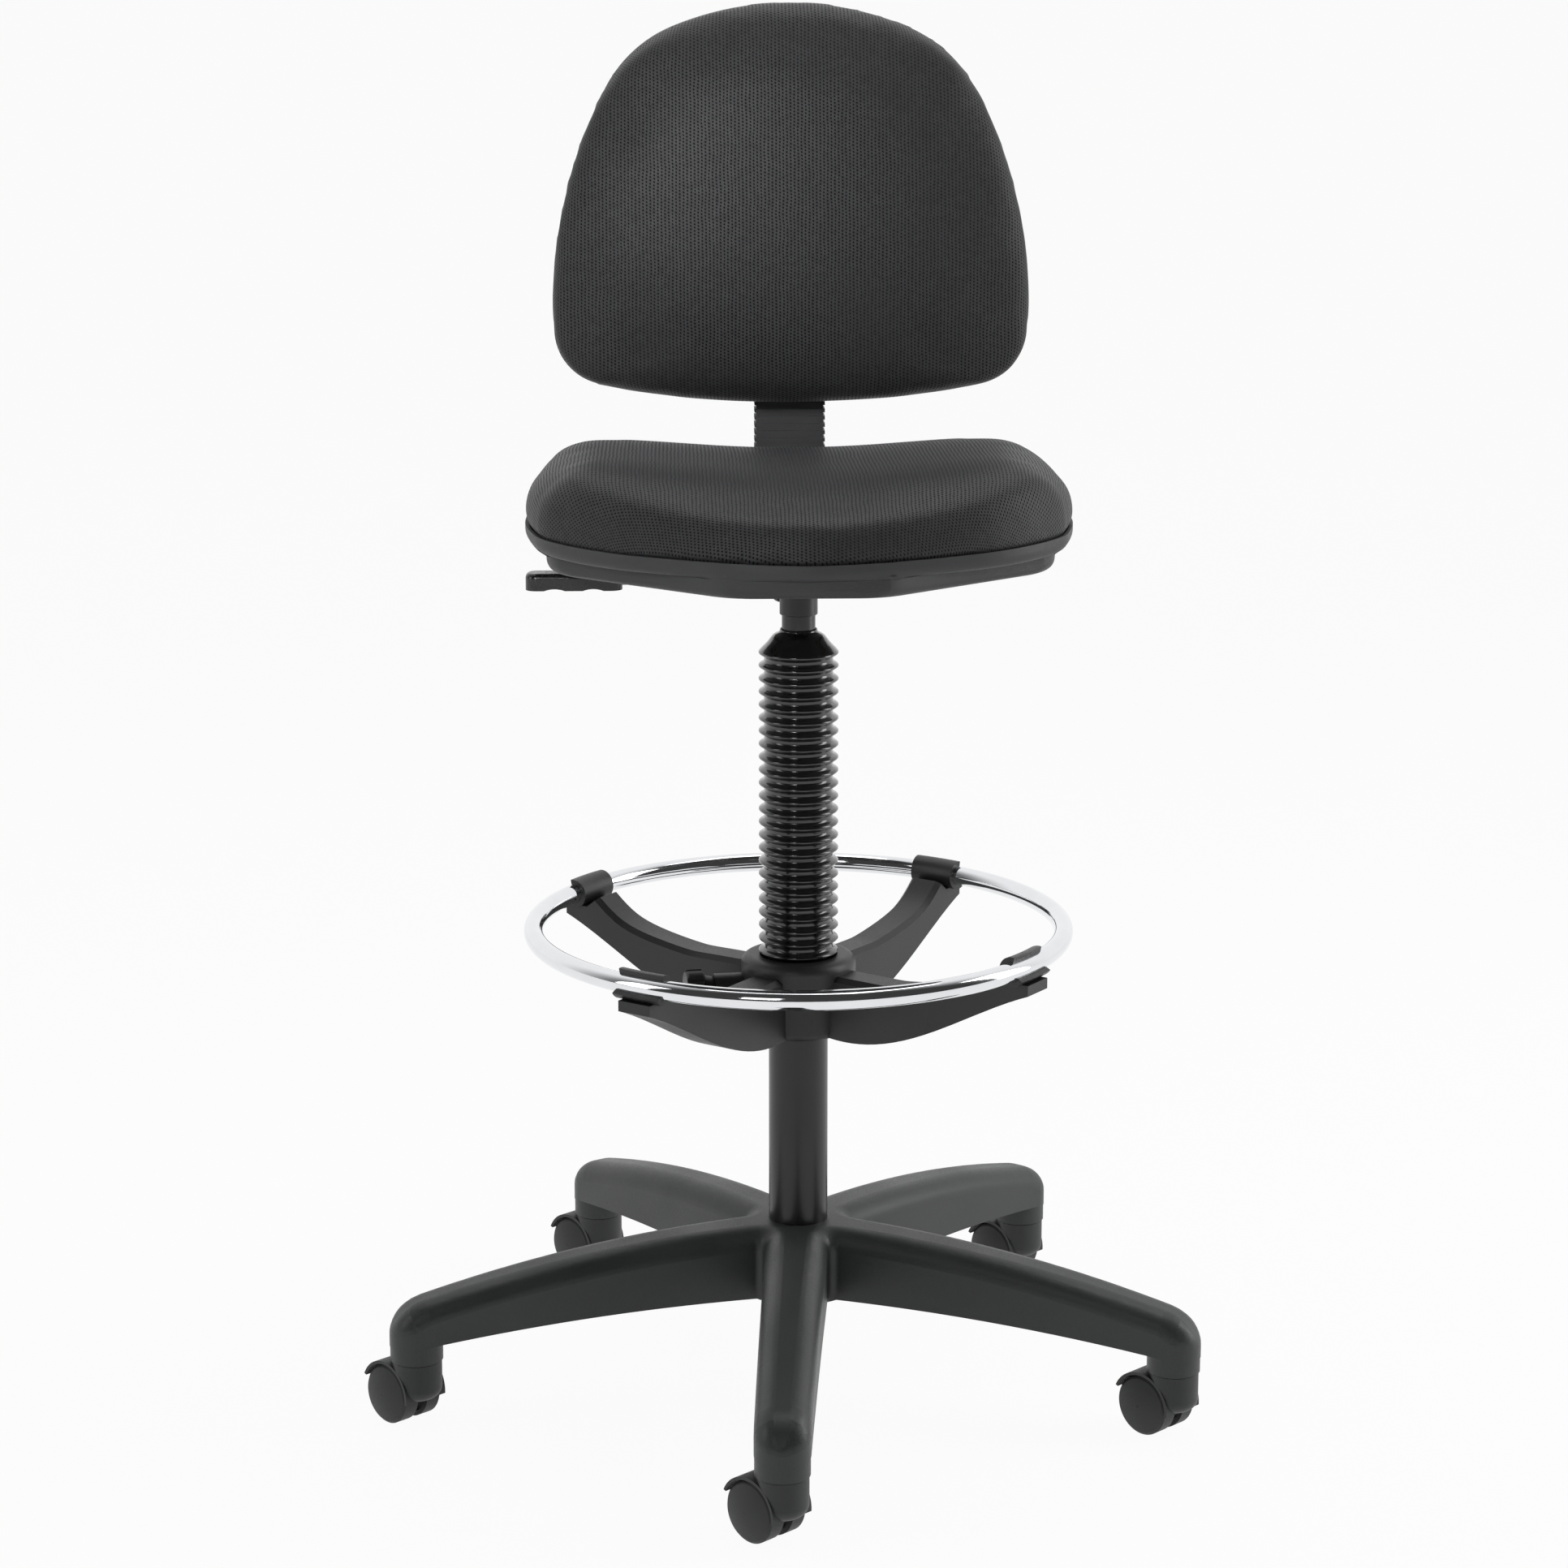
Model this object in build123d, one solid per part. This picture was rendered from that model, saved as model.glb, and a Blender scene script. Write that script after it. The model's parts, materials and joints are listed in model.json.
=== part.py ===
from build123d import *
import os
from math import cos, degrees, radians, sin

# A drafting chair at its highest setting. Millimetres, +Z up, the sitter faces -Y.
# The origin is on the floor, on the axis of the gas column.

STAND = (Align.CENTER, Align.CENTER, Align.MIN)  # placed by the middle of the underside
CORNER = (Align.MIN, Align.MIN, Align.MIN)  # placed by the lowest corner
LEVEL = 0.01  # edges within this height of each other lie at one level

# ---- clearances ----
RUN = 0.05  # radial clearance of shafts, pins and bores
SLIP = 0.3  # gap between parts that slide past each other or only rest together

# ---- five-arm base ----
ARM_COUNT = 5
FRONT_ARM_ANGLE = -94.1  # heading of the arm under the front edge of the seat
STEM_CIRCLE_R = 332.0  # from the column axis to a caster stem
ARM_HUB_WIDTH = 54.0
ARM_END_WIDTH = 45.0
ARM_WALL = 3.5
ARM_EDGE_R = 17.0  # rounding along the top of an arm
ARM_ROOT_R = 7.0  # rounding between two arms at the hub
HUB_TOP_Z = 150.0
HUB_BOTTOM_Z = 88.0
ARM_TIP_TOP_Z = 109.5  # top of an arm where its rounded end begins
ARM_TIP_BOTTOM_Z = 69.0
ARM_TOP_CAMBER = 10.5  # how far the top of an arm bows up from the straight line
ARM_UNDER_CAMBER = 8.0
ARM_ELBOW_R = 40.0  # rounding where the end of an arm turns down to its caster
ARM_ELBOW_SLOPE = 14.6  # slope of the top of an arm where the rounding begins, in degrees
ARM_ELBOW_OVER = 1.8  # how far the rounding would pass the end of the arm
ARM_FOOT_OVERLAP = 12.0  # how far the round foot of an arm runs up into it
ARM_FOOT_STEP = 0.4  # how much narrower the foot is than the end of the arm, all round
HUB_COLLAR_DIA = 98.0
HUB_COLLAR_HEIGHT = 9.0
HUB_CORE_DIA = 66.0  # solid core round the column taper
RIB_THICKNESS = 3.0
ARM_RIB_COUNT = 3

# ---- casters ----
WHEEL_DIA = 50.0
WHEEL_TREAD = 15.0  # width of one wheel at its tread
WHEEL_DOME = 4.0  # how far the outer face bulges past the tread
WHEEL_EDGE_R = 2.0
WHEEL_RIM = 4.0
WHEEL_HOLLOW = 5.0  # depth of the ring-shaped hollow towards the web
WHEEL_WEB_GAP = 0.6  # between a wheel and the web of the hood
CASTER_TRAIL = 18.0  # from the stem axis to the axle axis
CASTER_HEADING = 133.0  # direction in which every caster trails
CASTER_TOP_Z = 56.2
HOOD_WEB = 9.0
HOOD_WALL = 2.6
HOOD_CLEAR = 1.4  # between the tread and the hood
HOOD_SLANT = 13.0  # height of the hood's rear edge above the axle
HOUSING_DIA = 42.0
HOUSING_BOTTOM_Z = 23.0
STEM_DIA = 11.0
STEM_GRIP = 34.0  # length of the stem in its socket
STEM_FOOT_DIA = 7.0
STEM_FOOT = 20.0  # length of the stem pressed into the hood
SEAM = 0.8  # open seam between a caster and its arm
AXLE_DIA = 6.0

# ---- gas column ----
COLUMN_DIA = 50.0
COLUMN_WALL = 2.2
COLUMN_TOP_Z = 398.0
COLUMN_FOOT_DIA = 47.6  # small end of the taper in the hub
COLUMN_FOOT_DROP = 4.0  # how far the tube passes below the hub
COLUMN_FLOOR = 3.0
GUIDE_LENGTH = 92.0
GUIDE_FLANGE = 2.5
GAS_DIA = 28.0
GAS_BORE = 24.0
GAS_SHOULDER_Z = 676.0  # where the taper of the gas cylinder begins
GAS_TAPER_LENGTH = 42.0
GAS_TAPER_TOP_DIA = 26.4
GAS_GLAND = 14.0
STROKE = 200.0  # seat height travel, all of it downwards
GAS_SPARE = 9.0  # room left under the gas cylinder at its lowest
ROD_DIA = 10.0
ROD_END_DIA = 8.0
PISTON_HEIGHT = 16.0
BEARING_DIA = 30.0
BEARING_LAYER = 2.4  # thickness of each washer and of the cage
CLIP_THICKNESS = 1.5
VALVE_PIN_DIA = 8.0
VALVE_PIN_LENGTH = 26.0
VALVE_PIN_PROUD = 5.0

# ---- bellows ----
BELLOWS_CUFF_Z = 373.0
BELLOWS_FIRST_RIB_Z = 386.0
BELLOWS_TOP_Z = 662.0
BELLOWS_DIA = 67.3
BELLOWS_VALLEY_DIA = 59.0
BELLOWS_CUFF_DIA = 54.0
BELLOWS_NECK = 6.0
BELLOWS_DOME = 11.0
BELLOWS_WALL = 1.6
BELLOWS_RIBS = 24

# ---- foot ring ----
RING_R = 223.0
RING_TUBE_DIA = 16.3
RING_Z = 406.0
SPIDER_ARM_ANGLES = (54.0, 144.0, 234.0, 324.0)
SPIDER_ARM_WIDTH = 31.0
SPIDER_ARM_DROP = 11.0  # from the top of the hub to the top of an arm at its root
SPIDER_ARM_OVER = 11.0  # how far an arm passes the centre line of the ring
SPIDER_ARM_CHAMFER = 4.0
SPIDER_FOOT_R = 92.0  # where the underside of an arm begins to rise
SPIDER_TIP_DROP = 20.0  # from the centre line of the ring to the end of an arm's underside
SPIDER_HEEL = 42.0  # from the ring in to the bend of an arm's underside
SPIDER_ARM_DIP = 22.5  # step of the hollow curve along the top of an arm
CLIP_REACH = 23.0  # from the centre line of the ring to the shoulder of an arm
SPIDER_HUB_DIA = 90.0
SPIDER_CAP_DIA = 97.0
SPIDER_CAP_HEIGHT = 22.0
SPIDER_TOP_Z = 383.0
SPIDER_BOTTOM_Z = 317.0
SPIDER_RECESS_DIA = 66.0
SPIDER_RECESS_DEPTH = 11.0
CLIP_WALL = 4.4
CLIP_LENGTH = 43.0
COLLET_WALL = 3.5
COLLET_SLIT = 4.0
RING_KNOB_ANGLE = 189.0
RING_KNOB_DIA = 35.0
RING_KNOB_LENGTH = 24.0
RING_KNOB_R = 73.0  # distance of the knob's inner face from the column axis
RING_KNOB_Z = 355.0
RING_KNOB_BOSS_DIA = 26.0

# ---- knobs on studs ----
STUD_DIA = 8.0
KNOB_FLUTES = 8
KNOB_FLUTE_DIA = 8.0

# ---- seat ----
SEAT_WIDTH = 457.0
SEAT_FRONT_Y = -216.0
SEAT_REAR_Y = 208.0
SEAT_SIDE_BOW = 25.0
SEAT_FRONT_BOW = 12.0
SEAT_REAR_BOW = 16.0
SEAT_FRONT_CORNER_R = 90.0
SEAT_REAR_CORNER_R = 104.0
SEAT_SEAM_Z = 751.0
SEAT_TOP_Z = 811.0
SEAT_DISH = 3.0
SEAT_REAR_FALL = 25.0  # how far the top falls towards the back
SEAT_WATERFALL = 27.0  # how far the top falls at the front edge
SEAT_EDGE_R = 44.0
SEAT_UNDER_R = 13.0
SEAT_SHELL_INSET = 3.0
SHELL_BELOW_BOARD = 13.0  # from the board down to the bottom of the shell
SKIRT_EDGE_R = 9.0
TRAY_DEPTH = 15.0  # from the skirt down to the bottom of the shell
TRAY_SIDE_INSET = 21.5
TRAY_END_INSET = 13.0
TRAY_CUT_X = 145.0  # size of the cut-off corners, across and along the seat
TRAY_CUT_Y = 118.0
TRAY_CORNER_R = 60.0
TRAY_EDGE_R = 10.0
SHELL_WALL = 3.0
BOARD_BOTTOM_Z = 735.0
BOARD_THICKNESS = 12.0
BOARD_GAP = 2.0
SHELL_SCREW_X = 140.0
SHELL_SCREW_Y = 105.0
SHELL_BOSS_DIA = 14.0
SHELL_SCREW_DIA = 4.0

# ---- seat mechanism ----
BOX_WIDTH = 116.0
BOX_FRONT_Y = -62.0
BOX_REAR_Y = 120.0
BOX_DEPTH = 35.0
BOX_WALL = 3.0
FLANGE_WIDTH = 196.0
FLANGE_GAP = 5.0  # from the flange to the opening in the shell
BOLT_SPACING_X = 160.0
BOLT_FRONT_Y = -36.0
BOLT_REAR_Y = 94.0
BOLT_DIA = 8.0
BOLT_HEAD = 5.5
BOLT_HEX = 13.0
SOCKET_DIA = 31.7
SOCKET_BOTTOM_Z = 674.0
SOCKET_HEIGHT = 42.0
GUIDE_STRAP_WALL = 3.0
GUIDE_STRAP_Y = 50.0
GUIDE_STRAP_LENGTH = 60.0
DEPTH_KNOB_Y = 86.0
DEPTH_KNOB_DIA = 38.0
DEPTH_KNOB_LENGTH = 22.0
WELD_NUT_HEIGHT = 6.0
WELD_NUT_HEX = 14.0

# ---- height lever ----
LEVER_ROD_DIA = 8.0
LEVER_PIVOT_X = -32.0
LEVER_INNER_X = 9.0
LEVER_BEND_X = -46.0
LEVER_DROP_X = -112.0
LEVER_DROP = 24.0
LEVER_PIVOT_DIA = 5.0
LEVER_SLOT = 16.0
PADDLE_INNER_X = -146.0
PADDLE_OUTER_X = -226.0
PADDLE_WIDTH = 24.0
PADDLE_THICKNESS = 14.0
PADDLE_SCALLOP = 1.6  # depth of the finger hollows

# ---- back bar ----
BAR_WIDTH = 50.0
BAR_THICKNESS = 8.0
BAR_INNER_Y = 22.0
BAR_UPRIGHT_Y = 236.0
BAR_BEND_R = 58.0
BAR_TOP_Z = 1012.0
SLEEVE_WIDTH = 62.0
SLEEVE_DEPTH = 22.0
SLEEVE_TOP_Z = 888.0
SLEEVE_PITCH = 6.5
SLEEVE_GROOVE = 1.6
SLEEVE_WALL_GAP = 0.6

# ---- back ----
BACK_WIDTH = 420.0
BACK_BOTTOM_Z = 825.0
BACK_TOP_Z = 1172.5
BACK_FRONT_Y = 150.0
BACK_TOP_R = 274.0  # arc of the top edge
BACK_SIDE_R = 400.0  # arc of each side, widest at BACK_WIDEST_Z
BACK_BOTTOM_R = 1060.0
BACK_WIDEST_Z = 911.0
BACK_TOP_CORNER_R = 118.0
BACK_BOTTOM_CORNER_R = 53.0
BACK_CURVE_R = 900.0  # vertical curve of the back, bulging towards the sitter
BACK_WAIST_Z = 925.0  # height of the foremost line
BACK_PAD = 41.0
BACK_BOARD = 9.0
BACK_SHELL_INSET = 4.0
BACK_SHELL_DEPTH = 19.0
BACK_EDGE_R = 14.0
BRACKET_BOTTOM_Z = 894.0
BRACKET_HEIGHT = 104.0
BRACKET_WIDTH = 92.0
BRACKET_WALL = 3.0
BACK_SCREW_X = 37.0
BACK_SCREW_DZ = 36.0
HEIGHT_KNOB_DIA = 42.0
HEIGHT_KNOB_LENGTH = 24.0

# ---- worked out from the sizes above ----
ARM_FOOT_Z = CASTER_TOP_Z + SEAM
WHEEL_R = WHEEL_DIA / 2
COLUMN_R = COLUMN_DIA / 2
COLUMN_FOOT_Z = HUB_BOTTOM_Z - COLUMN_FOOT_DROP
BEARING_BOTTOM_Z = COLUMN_FOOT_Z + COLUMN_FLOOR
BEARING_TOP_Z = BEARING_BOTTOM_Z + 3 * BEARING_LAYER
GAS_BOTTOM_Z = BEARING_TOP_Z + STROKE + GAS_SPARE
GAS_TOP_Z = GAS_SHOULDER_Z + GAS_TAPER_LENGTH
PISTON_Z = GAS_BOTTOM_Z + GAS_GLAND + 2.0
VALVE_TOP_Z = GAS_TOP_Z + VALVE_PIN_PROUD
LEVER_Z = VALVE_TOP_Z + SLIP + LEVER_ROD_DIA / 2
BOX_BOTTOM_Z = BOARD_BOTTOM_Z - BOX_DEPTH
BAR_BOTTOM_Z = BOX_BOTTOM_Z + BOX_WALL + SLIP
BAR_MID_Z = BAR_BOTTOM_Z + BAR_THICKNESS / 2
BOARD_TOP_Z = BOARD_BOTTOM_Z + BOARD_THICKNESS
SEAT_SHELL_BOTTOM_Z = BOARD_BOTTOM_Z - SHELL_BELOW_BOARD
SKIRT_BOTTOM_Z = SEAT_SHELL_BOTTOM_Z + TRAY_DEPTH
BRACKET_MID_Z = BRACKET_BOTTOM_Z + BRACKET_HEIGHT / 2


# ---- shared shapes ----
def upright(points):
    """A closed polygon in the XZ plane."""
    return Plane.XZ * make_face(Polyline(*points, close=True))


def turned(points):
    """A solid of revolution about Z from (radius, height) points."""
    return revolve(upright(points), Axis.Z)


def tube(outer, inner, bottom, top):
    """A plain tube or washer from two diameters and two heights."""
    return turned([(inner / 2, bottom), (outer / 2, bottom), (outer / 2, top), (inner / 2, top)])


def rod(diameter, bottom, top):
    """A plain upright cylinder."""
    return Pos(0, 0, bottom) * Cylinder(diameter / 2, top - bottom, align=STAND)


def block(x0, x1, y0, y1, z0, z1):
    """A box between two corners."""
    return Pos(x0, y0, z0) * Box(x1 - x0, y1 - y0, z1 - z0, align=CORNER)


def hexagon(flats, bottom, top):
    """An upright hexagonal prism."""
    return Pos(0, 0, bottom) * extrude(RegularPolygon(flats / 2, 6, major_radius=False), top - bottom)


def rims(solid, plane_z):
    """The edges of a solid that lie flat at one height."""
    return [edge for edge in solid.edges() if on_level(edge, plane_z)]


def on_level(edge, height):
    """Whether an edge lies flat at a height."""
    box = edge.bounding_box()
    return abs(box.min.Z - height) < LEVEL and abs(box.max.Z - height) < LEVEL


# ---- base ----
def arm_angles():
    """Headings of the arms, the front one first."""
    return [FRONT_ARM_ANGLE + 360.0 / ARM_COUNT * index for index in range(ARM_COUNT)]


def arm_plan(inset):
    """Plan of all the arms, with rounded roots between them."""
    hub_half = ARM_HUB_WIDTH / 2 - inset
    end_half = ARM_END_WIDTH / 2 - inset
    corners = [(0, -hub_half), (STEM_CIRCLE_R, -end_half), (STEM_CIRCLE_R, end_half), (0, hub_half)]
    arm = make_face(Polyline(*corners, close=True)) + Pos(STEM_CIRCLE_R, 0) * Circle(end_half)
    plan = Sketch() + [Rot(0, 0, angle) * arm for angle in arm_angles()]
    roots = [v for v in plan.vertices() if Vector(v.X, v.Y, 0).length < HUB_COLLAR_DIA]
    return fillet(roots, ARM_ROOT_R + inset)


def arm_envelope(top_drop, bottom_drop):
    """The arched space of revolution between the tops and the undersides of the arms."""
    tip = STEM_CIRCLE_R + ARM_END_WIDTH / 2 + ARM_ELBOW_OVER
    centre = (tip - ARM_ELBOW_R, ARM_TIP_TOP_Z - ARM_ELBOW_R * cos(radians(ARM_ELBOW_SLOPE)) - top_drop)

    def elbow(slope):
        """Point of the rounded end where its surface has a slope in degrees."""
        turn = radians(slope)
        return (centre[0] + ARM_ELBOW_R * sin(turn), centre[1] + ARM_ELBOW_R * cos(turn))

    start = elbow(ARM_ELBOW_SLOPE)
    mid_top = (HUB_TOP_Z + ARM_TIP_TOP_Z) / 2 + ARM_TOP_CAMBER - top_drop
    mid_bottom = (HUB_BOTTOM_Z + ARM_TIP_BOTTOM_Z) / 2 + ARM_UNDER_CAMBER - bottom_drop
    top = ThreePointArc((0, HUB_TOP_Z - top_drop), (start[0] / 2, mid_top), start)
    end = ThreePointArc(start, elbow((ARM_ELBOW_SLOPE + 90) / 2), elbow(90))
    low = (tip, ARM_TIP_BOTTOM_Z - bottom_drop)
    bottom = ThreePointArc((0, HUB_BOTTOM_Z - bottom_drop), (tip / 2, mid_bottom), low)
    outline = [top, end, Line(end @ 1, bottom @ 1), bottom, Line(bottom @ 0, top @ 0)]
    return Rot(0, 0, FRONT_ARM_ANGLE + 180.0 / ARM_COUNT) * revolve(Plane.XZ * make_face(outline), Axis.Z)


def rounded_arms(inset, top_drop, bottom_drop):
    """The star of arms between its envelope surfaces, rounded along its top."""
    height = HUB_TOP_Z * 2
    star = extrude(arm_plan(inset), height) & arm_envelope(top_drop, bottom_drop)
    walls = [face for face in star.faces() if abs(face.normal_at().Z) < LEVEL]
    tops = [wall.edges().sort_by(Axis.Z)[-1] for wall in walls]
    return fillet(tops, ARM_EDGE_R - inset)


def arm_ribs():
    """Stiffening ribs that stay in the hollow of each arm."""
    first = HUB_CORE_DIA
    pitch = (STEM_CIRCLE_R - first) / (ARM_RIB_COUNT + 1)
    half = RIB_THICKNESS / 2
    ribs = block(0, STEM_CIRCLE_R, -half, half, ARM_TIP_BOTTOM_Z, HUB_TOP_Z)
    for index in range(ARM_RIB_COUNT):
        x = first + pitch * (index + 1)
        ribs += block(x - half, x + half, -ARM_HUB_WIDTH, ARM_HUB_WIDTH, ARM_TIP_BOTTOM_Z, HUB_TOP_Z)
    return ribs


def base_star():
    """Hollow five-arm base with its hub, ribs and caster sockets."""
    star = rounded_arms(0, 0, 0)
    hollow = rounded_arms(ARM_WALL, ARM_WALL, ARM_WALL * 2)
    hollow -= rod(HUB_CORE_DIA, 0, HUB_TOP_Z)
    for angle in arm_angles():
        hollow -= Rot(0, 0, angle) * Pos(STEM_CIRCLE_R, 0) * rod(ARM_END_WIDTH, 0, HUB_TOP_Z)
        hollow -= Rot(0, 0, angle) * arm_ribs()
    star -= hollow
    foot = rod(ARM_END_WIDTH - 2 * ARM_FOOT_STEP, ARM_FOOT_Z, ARM_TIP_BOTTOM_Z + ARM_FOOT_OVERLAP)
    for angle in arm_angles():
        star += Rot(0, 0, angle) * Pos(STEM_CIRCLE_R, 0) * foot
    collar_top = HUB_BOTTOM_Z + HUB_COLLAR_HEIGHT
    star += tube(HUB_COLLAR_DIA, HUB_COLLAR_DIA - 2 * ARM_WALL, HUB_BOTTOM_Z, collar_top)
    star -= column_space(RUN)
    socket = rod(STEM_DIA + 2 * RUN, ARM_FOOT_Z - 1, ARM_FOOT_Z + STEM_GRIP + 1)
    for angle in arm_angles():
        star -= Rot(0, 0, angle) * Pos(STEM_CIRCLE_R, 0) * socket
    return star


def column_space(gap):
    """The tapered seat of the column in the hub, opened by a radial gap."""
    foot = COLUMN_FOOT_DIA / 2 + gap
    full = COLUMN_R + gap
    under = HUB_BOTTOM_Z - 1
    over = HUB_TOP_Z + ARM_TOP_CAMBER * 2
    return turned([(0, under), (foot, under), (foot, HUB_BOTTOM_Z), (full, HUB_TOP_Z), (full, over), (0, over)])


# ---- casters, built with the stem on Z and trailing along +X ----
def wheel_space(side):
    """The room that a wheel turns in, to one side of the hood's web."""
    inner = HOOD_WEB / 2
    radius = WHEEL_R + HOOD_CLEAR
    disc = Rot(-90 * side, 0, 0) * Cylinder(radius, HOUSING_DIA, align=STAND)
    return Pos(CASTER_TRAIL, side * inner, WHEEL_R) * disc


def caster_hood():
    """Stem housing, web and arched hood in one moulding."""
    outer = WHEEL_R + HOOD_CLEAR + HOOD_WALL
    arch = Pos(CASTER_TRAIL, 0, WHEEL_R) * Rot(90, 0, 0) * Cylinder(outer, HOUSING_DIA)
    housing = rod(HOUSING_DIA, HOUSING_BOTTOM_Z, CASTER_TOP_Z)
    housing = fillet(rims(housing, HOUSING_BOTTOM_Z), HOUSING_DIA / 4)
    hood = housing + (arch & block(-HOUSING_DIA, outer * 3, -HOUSING_DIA, HOUSING_DIA, 0, CASTER_TOP_Z))
    hood -= wheel_space(1)
    hood -= wheel_space(-1)
    low = HOUSING_BOTTOM_Z
    rear = CASTER_TRAIL + outer
    under = upright([(-rear, -1), (-rear, low), (HOOD_WEB, low), (rear, WHEEL_R + HOOD_SLANT), (rear, -1)])
    lower = extrude(under, HOUSING_DIA, both=True)
    boss = Pos(CASTER_TRAIL, 0, WHEEL_R) * Rot(90, 0, 0) * Cylinder(AXLE_DIA, HOOD_WEB)
    hood = (hood - lower) + boss
    hood -= Pos(CASTER_TRAIL, 0, WHEEL_R) * Rot(90, 0, 0) * Cylinder(AXLE_DIA / 2 + RUN, HOOD_WEB * 2)
    hood -= rod(STEM_FOOT_DIA + 2 * RUN, CASTER_TOP_Z - STEM_FOOT - 1, CASTER_TOP_Z + 1)
    return hood


def caster_stem():
    """Swivel pin with a collar on the hood and a grip ring near its top."""
    r = STEM_DIA / 2
    foot = STEM_FOOT_DIA / 2
    top = ARM_FOOT_Z + STEM_GRIP
    low = CASTER_TOP_Z - STEM_FOOT
    return turned(
        [
            (0, low), (foot, low), (foot, CASTER_TOP_Z), (r + 2, CASTER_TOP_Z), (r + 2, ARM_FOOT_Z - RUN),
            (r, ARM_FOOT_Z - RUN), (r, top - 9), (r - 1, top - 8), (r - 1, top - 5), (r, top - 4),
            (r, top - 2), (r - 2, top), (0, top),
        ]
    )


def caster_axle():
    """Plain axle through the web and both wheels."""
    length = HOOD_WEB + 2 * (WHEEL_WEB_GAP + WHEEL_TREAD)
    return Pos(CASTER_TRAIL, 0, WHEEL_R) * Rot(90, 0, 0) * Cylinder(AXLE_DIA / 2, length - 2)


def caster_wheel(side):
    """One wheel with a domed face, a rounded tread and a hollow towards the web."""
    w = WHEEL_TREAD
    bore = AXLE_DIA / 2 + RUN
    hub = AXLE_DIA
    rim = WHEEL_R - WHEEL_RIM
    lip = WHEEL_R - WHEEL_EDGE_R
    dome_r = (lip**2 + WHEEL_DOME**2) / (2 * WHEEL_DOME)
    half_way = w + WHEEL_DOME - dome_r + (dome_r**2 - (lip / 2) ** 2) ** 0.5
    straight = [
        (0, w), (bore, w), (bore, 0), (hub, 0), (hub, WHEEL_HOLLOW), (rim, WHEEL_HOLLOW), (rim, 0),
        (WHEEL_R, 0), (WHEEL_R, w - WHEEL_EDGE_R), (lip, w),
    ]
    dome = ThreePointArc((lip, w), (lip / 2, half_way), (0, w + WHEEL_DOME))
    wheel = revolve(make_face([Polyline(*straight), dome, Line((0, w + WHEEL_DOME), (0, w))]), Axis.Y)
    if side < 0:
        wheel = mirror(wheel, Plane.XZ)
    return Pos(CASTER_TRAIL, side * (HOOD_WEB / 2 + WHEEL_WEB_GAP), WHEEL_R) * wheel


def caster_places():
    """Where each caster's stem stands, and how the caster is turned."""
    heading = Rot(0, 0, CASTER_HEADING)
    return [Rot(0, 0, angle) * Pos(STEM_CIRCLE_R, 0) * Rot(0, 0, -angle) * heading for angle in arm_angles()]


# ---- gas column ----
def column_tube():
    """Outer tube with its taper and its pierced floor."""
    r = COLUMN_R
    foot = COLUMN_FOOT_DIA / 2
    low = COLUMN_FOOT_Z
    bore = r - COLUMN_WALL
    narrow = foot - COLUMN_WALL
    hole = ROD_END_DIA / 2 + RUN
    return turned(
        [
            (hole, low), (foot, low), (foot, HUB_BOTTOM_Z), (r, HUB_TOP_Z), (r, COLUMN_TOP_Z - 1),
            (r - 1, COLUMN_TOP_Z), (bore, COLUMN_TOP_Z), (bore, HUB_TOP_Z), (narrow, HUB_BOTTOM_Z + 2),
            (narrow, BEARING_BOTTOM_Z), (hole, BEARING_BOTTOM_Z),
        ]
    )


def column_guide():
    """Plastic sleeve that guides the gas cylinder, with a flange on the rim of the tube."""
    outer = COLUMN_R - COLUMN_WALL - RUN
    inner = GAS_DIA / 2 + RUN
    top = COLUMN_TOP_Z + GUIDE_FLANGE
    low = COLUMN_TOP_Z - GUIDE_LENGTH
    return turned(
        [
            (inner, low), (outer, low), (outer, COLUMN_TOP_Z), (COLUMN_R, COLUMN_TOP_Z),
            (COLUMN_R, top - 1), (COLUMN_R - 1, top), (inner, top),
        ]
    )


def column_bearing():
    """Two hardened washers with a cage between them."""
    layers = []
    for index, width in enumerate((BEARING_DIA, BEARING_DIA - 3, BEARING_DIA)):
        low = BEARING_BOTTOM_Z + index * BEARING_LAYER
        layers.append(tube(width, ROD_END_DIA + 2 * RUN, low, low + BEARING_LAYER))
    return Compound(children=layers)


def column_clip():
    """Open spring clip in the groove of the rod, under the tube."""
    top = COLUMN_FOOT_Z - RUN
    ring = tube(ROD_END_DIA * 2, ROD_END_DIA - 2 + 2 * RUN, top - CLIP_THICKNESS, top)
    mouth = block(0, ROD_END_DIA * 2, -ROD_END_DIA / 3, ROD_END_DIA / 3, 0, top + 1)
    return ring - mouth


def piston_rod():
    """Rod that hangs in the clip and carries the piston."""
    end = ROD_END_DIA / 2
    r = ROD_DIA / 2
    clip_top = COLUMN_FOOT_Z - RUN / 2
    clip_low = COLUMN_FOOT_Z - CLIP_THICKNESS - 2 * RUN
    shoulder = BEARING_TOP_Z + RUN
    piston = GAS_BORE / 2 - RUN
    return turned(
        [
            (0, clip_low - 3), (end, clip_low - 3), (end, clip_low), (end - 1, clip_low),
            (end - 1, clip_top), (end, clip_top), (end, shoulder), (r, shoulder), (r, PISTON_Z),
            (piston, PISTON_Z), (piston, PISTON_Z + PISTON_HEIGHT), (0, PISTON_Z + PISTON_HEIGHT),
        ]
    )


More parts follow.
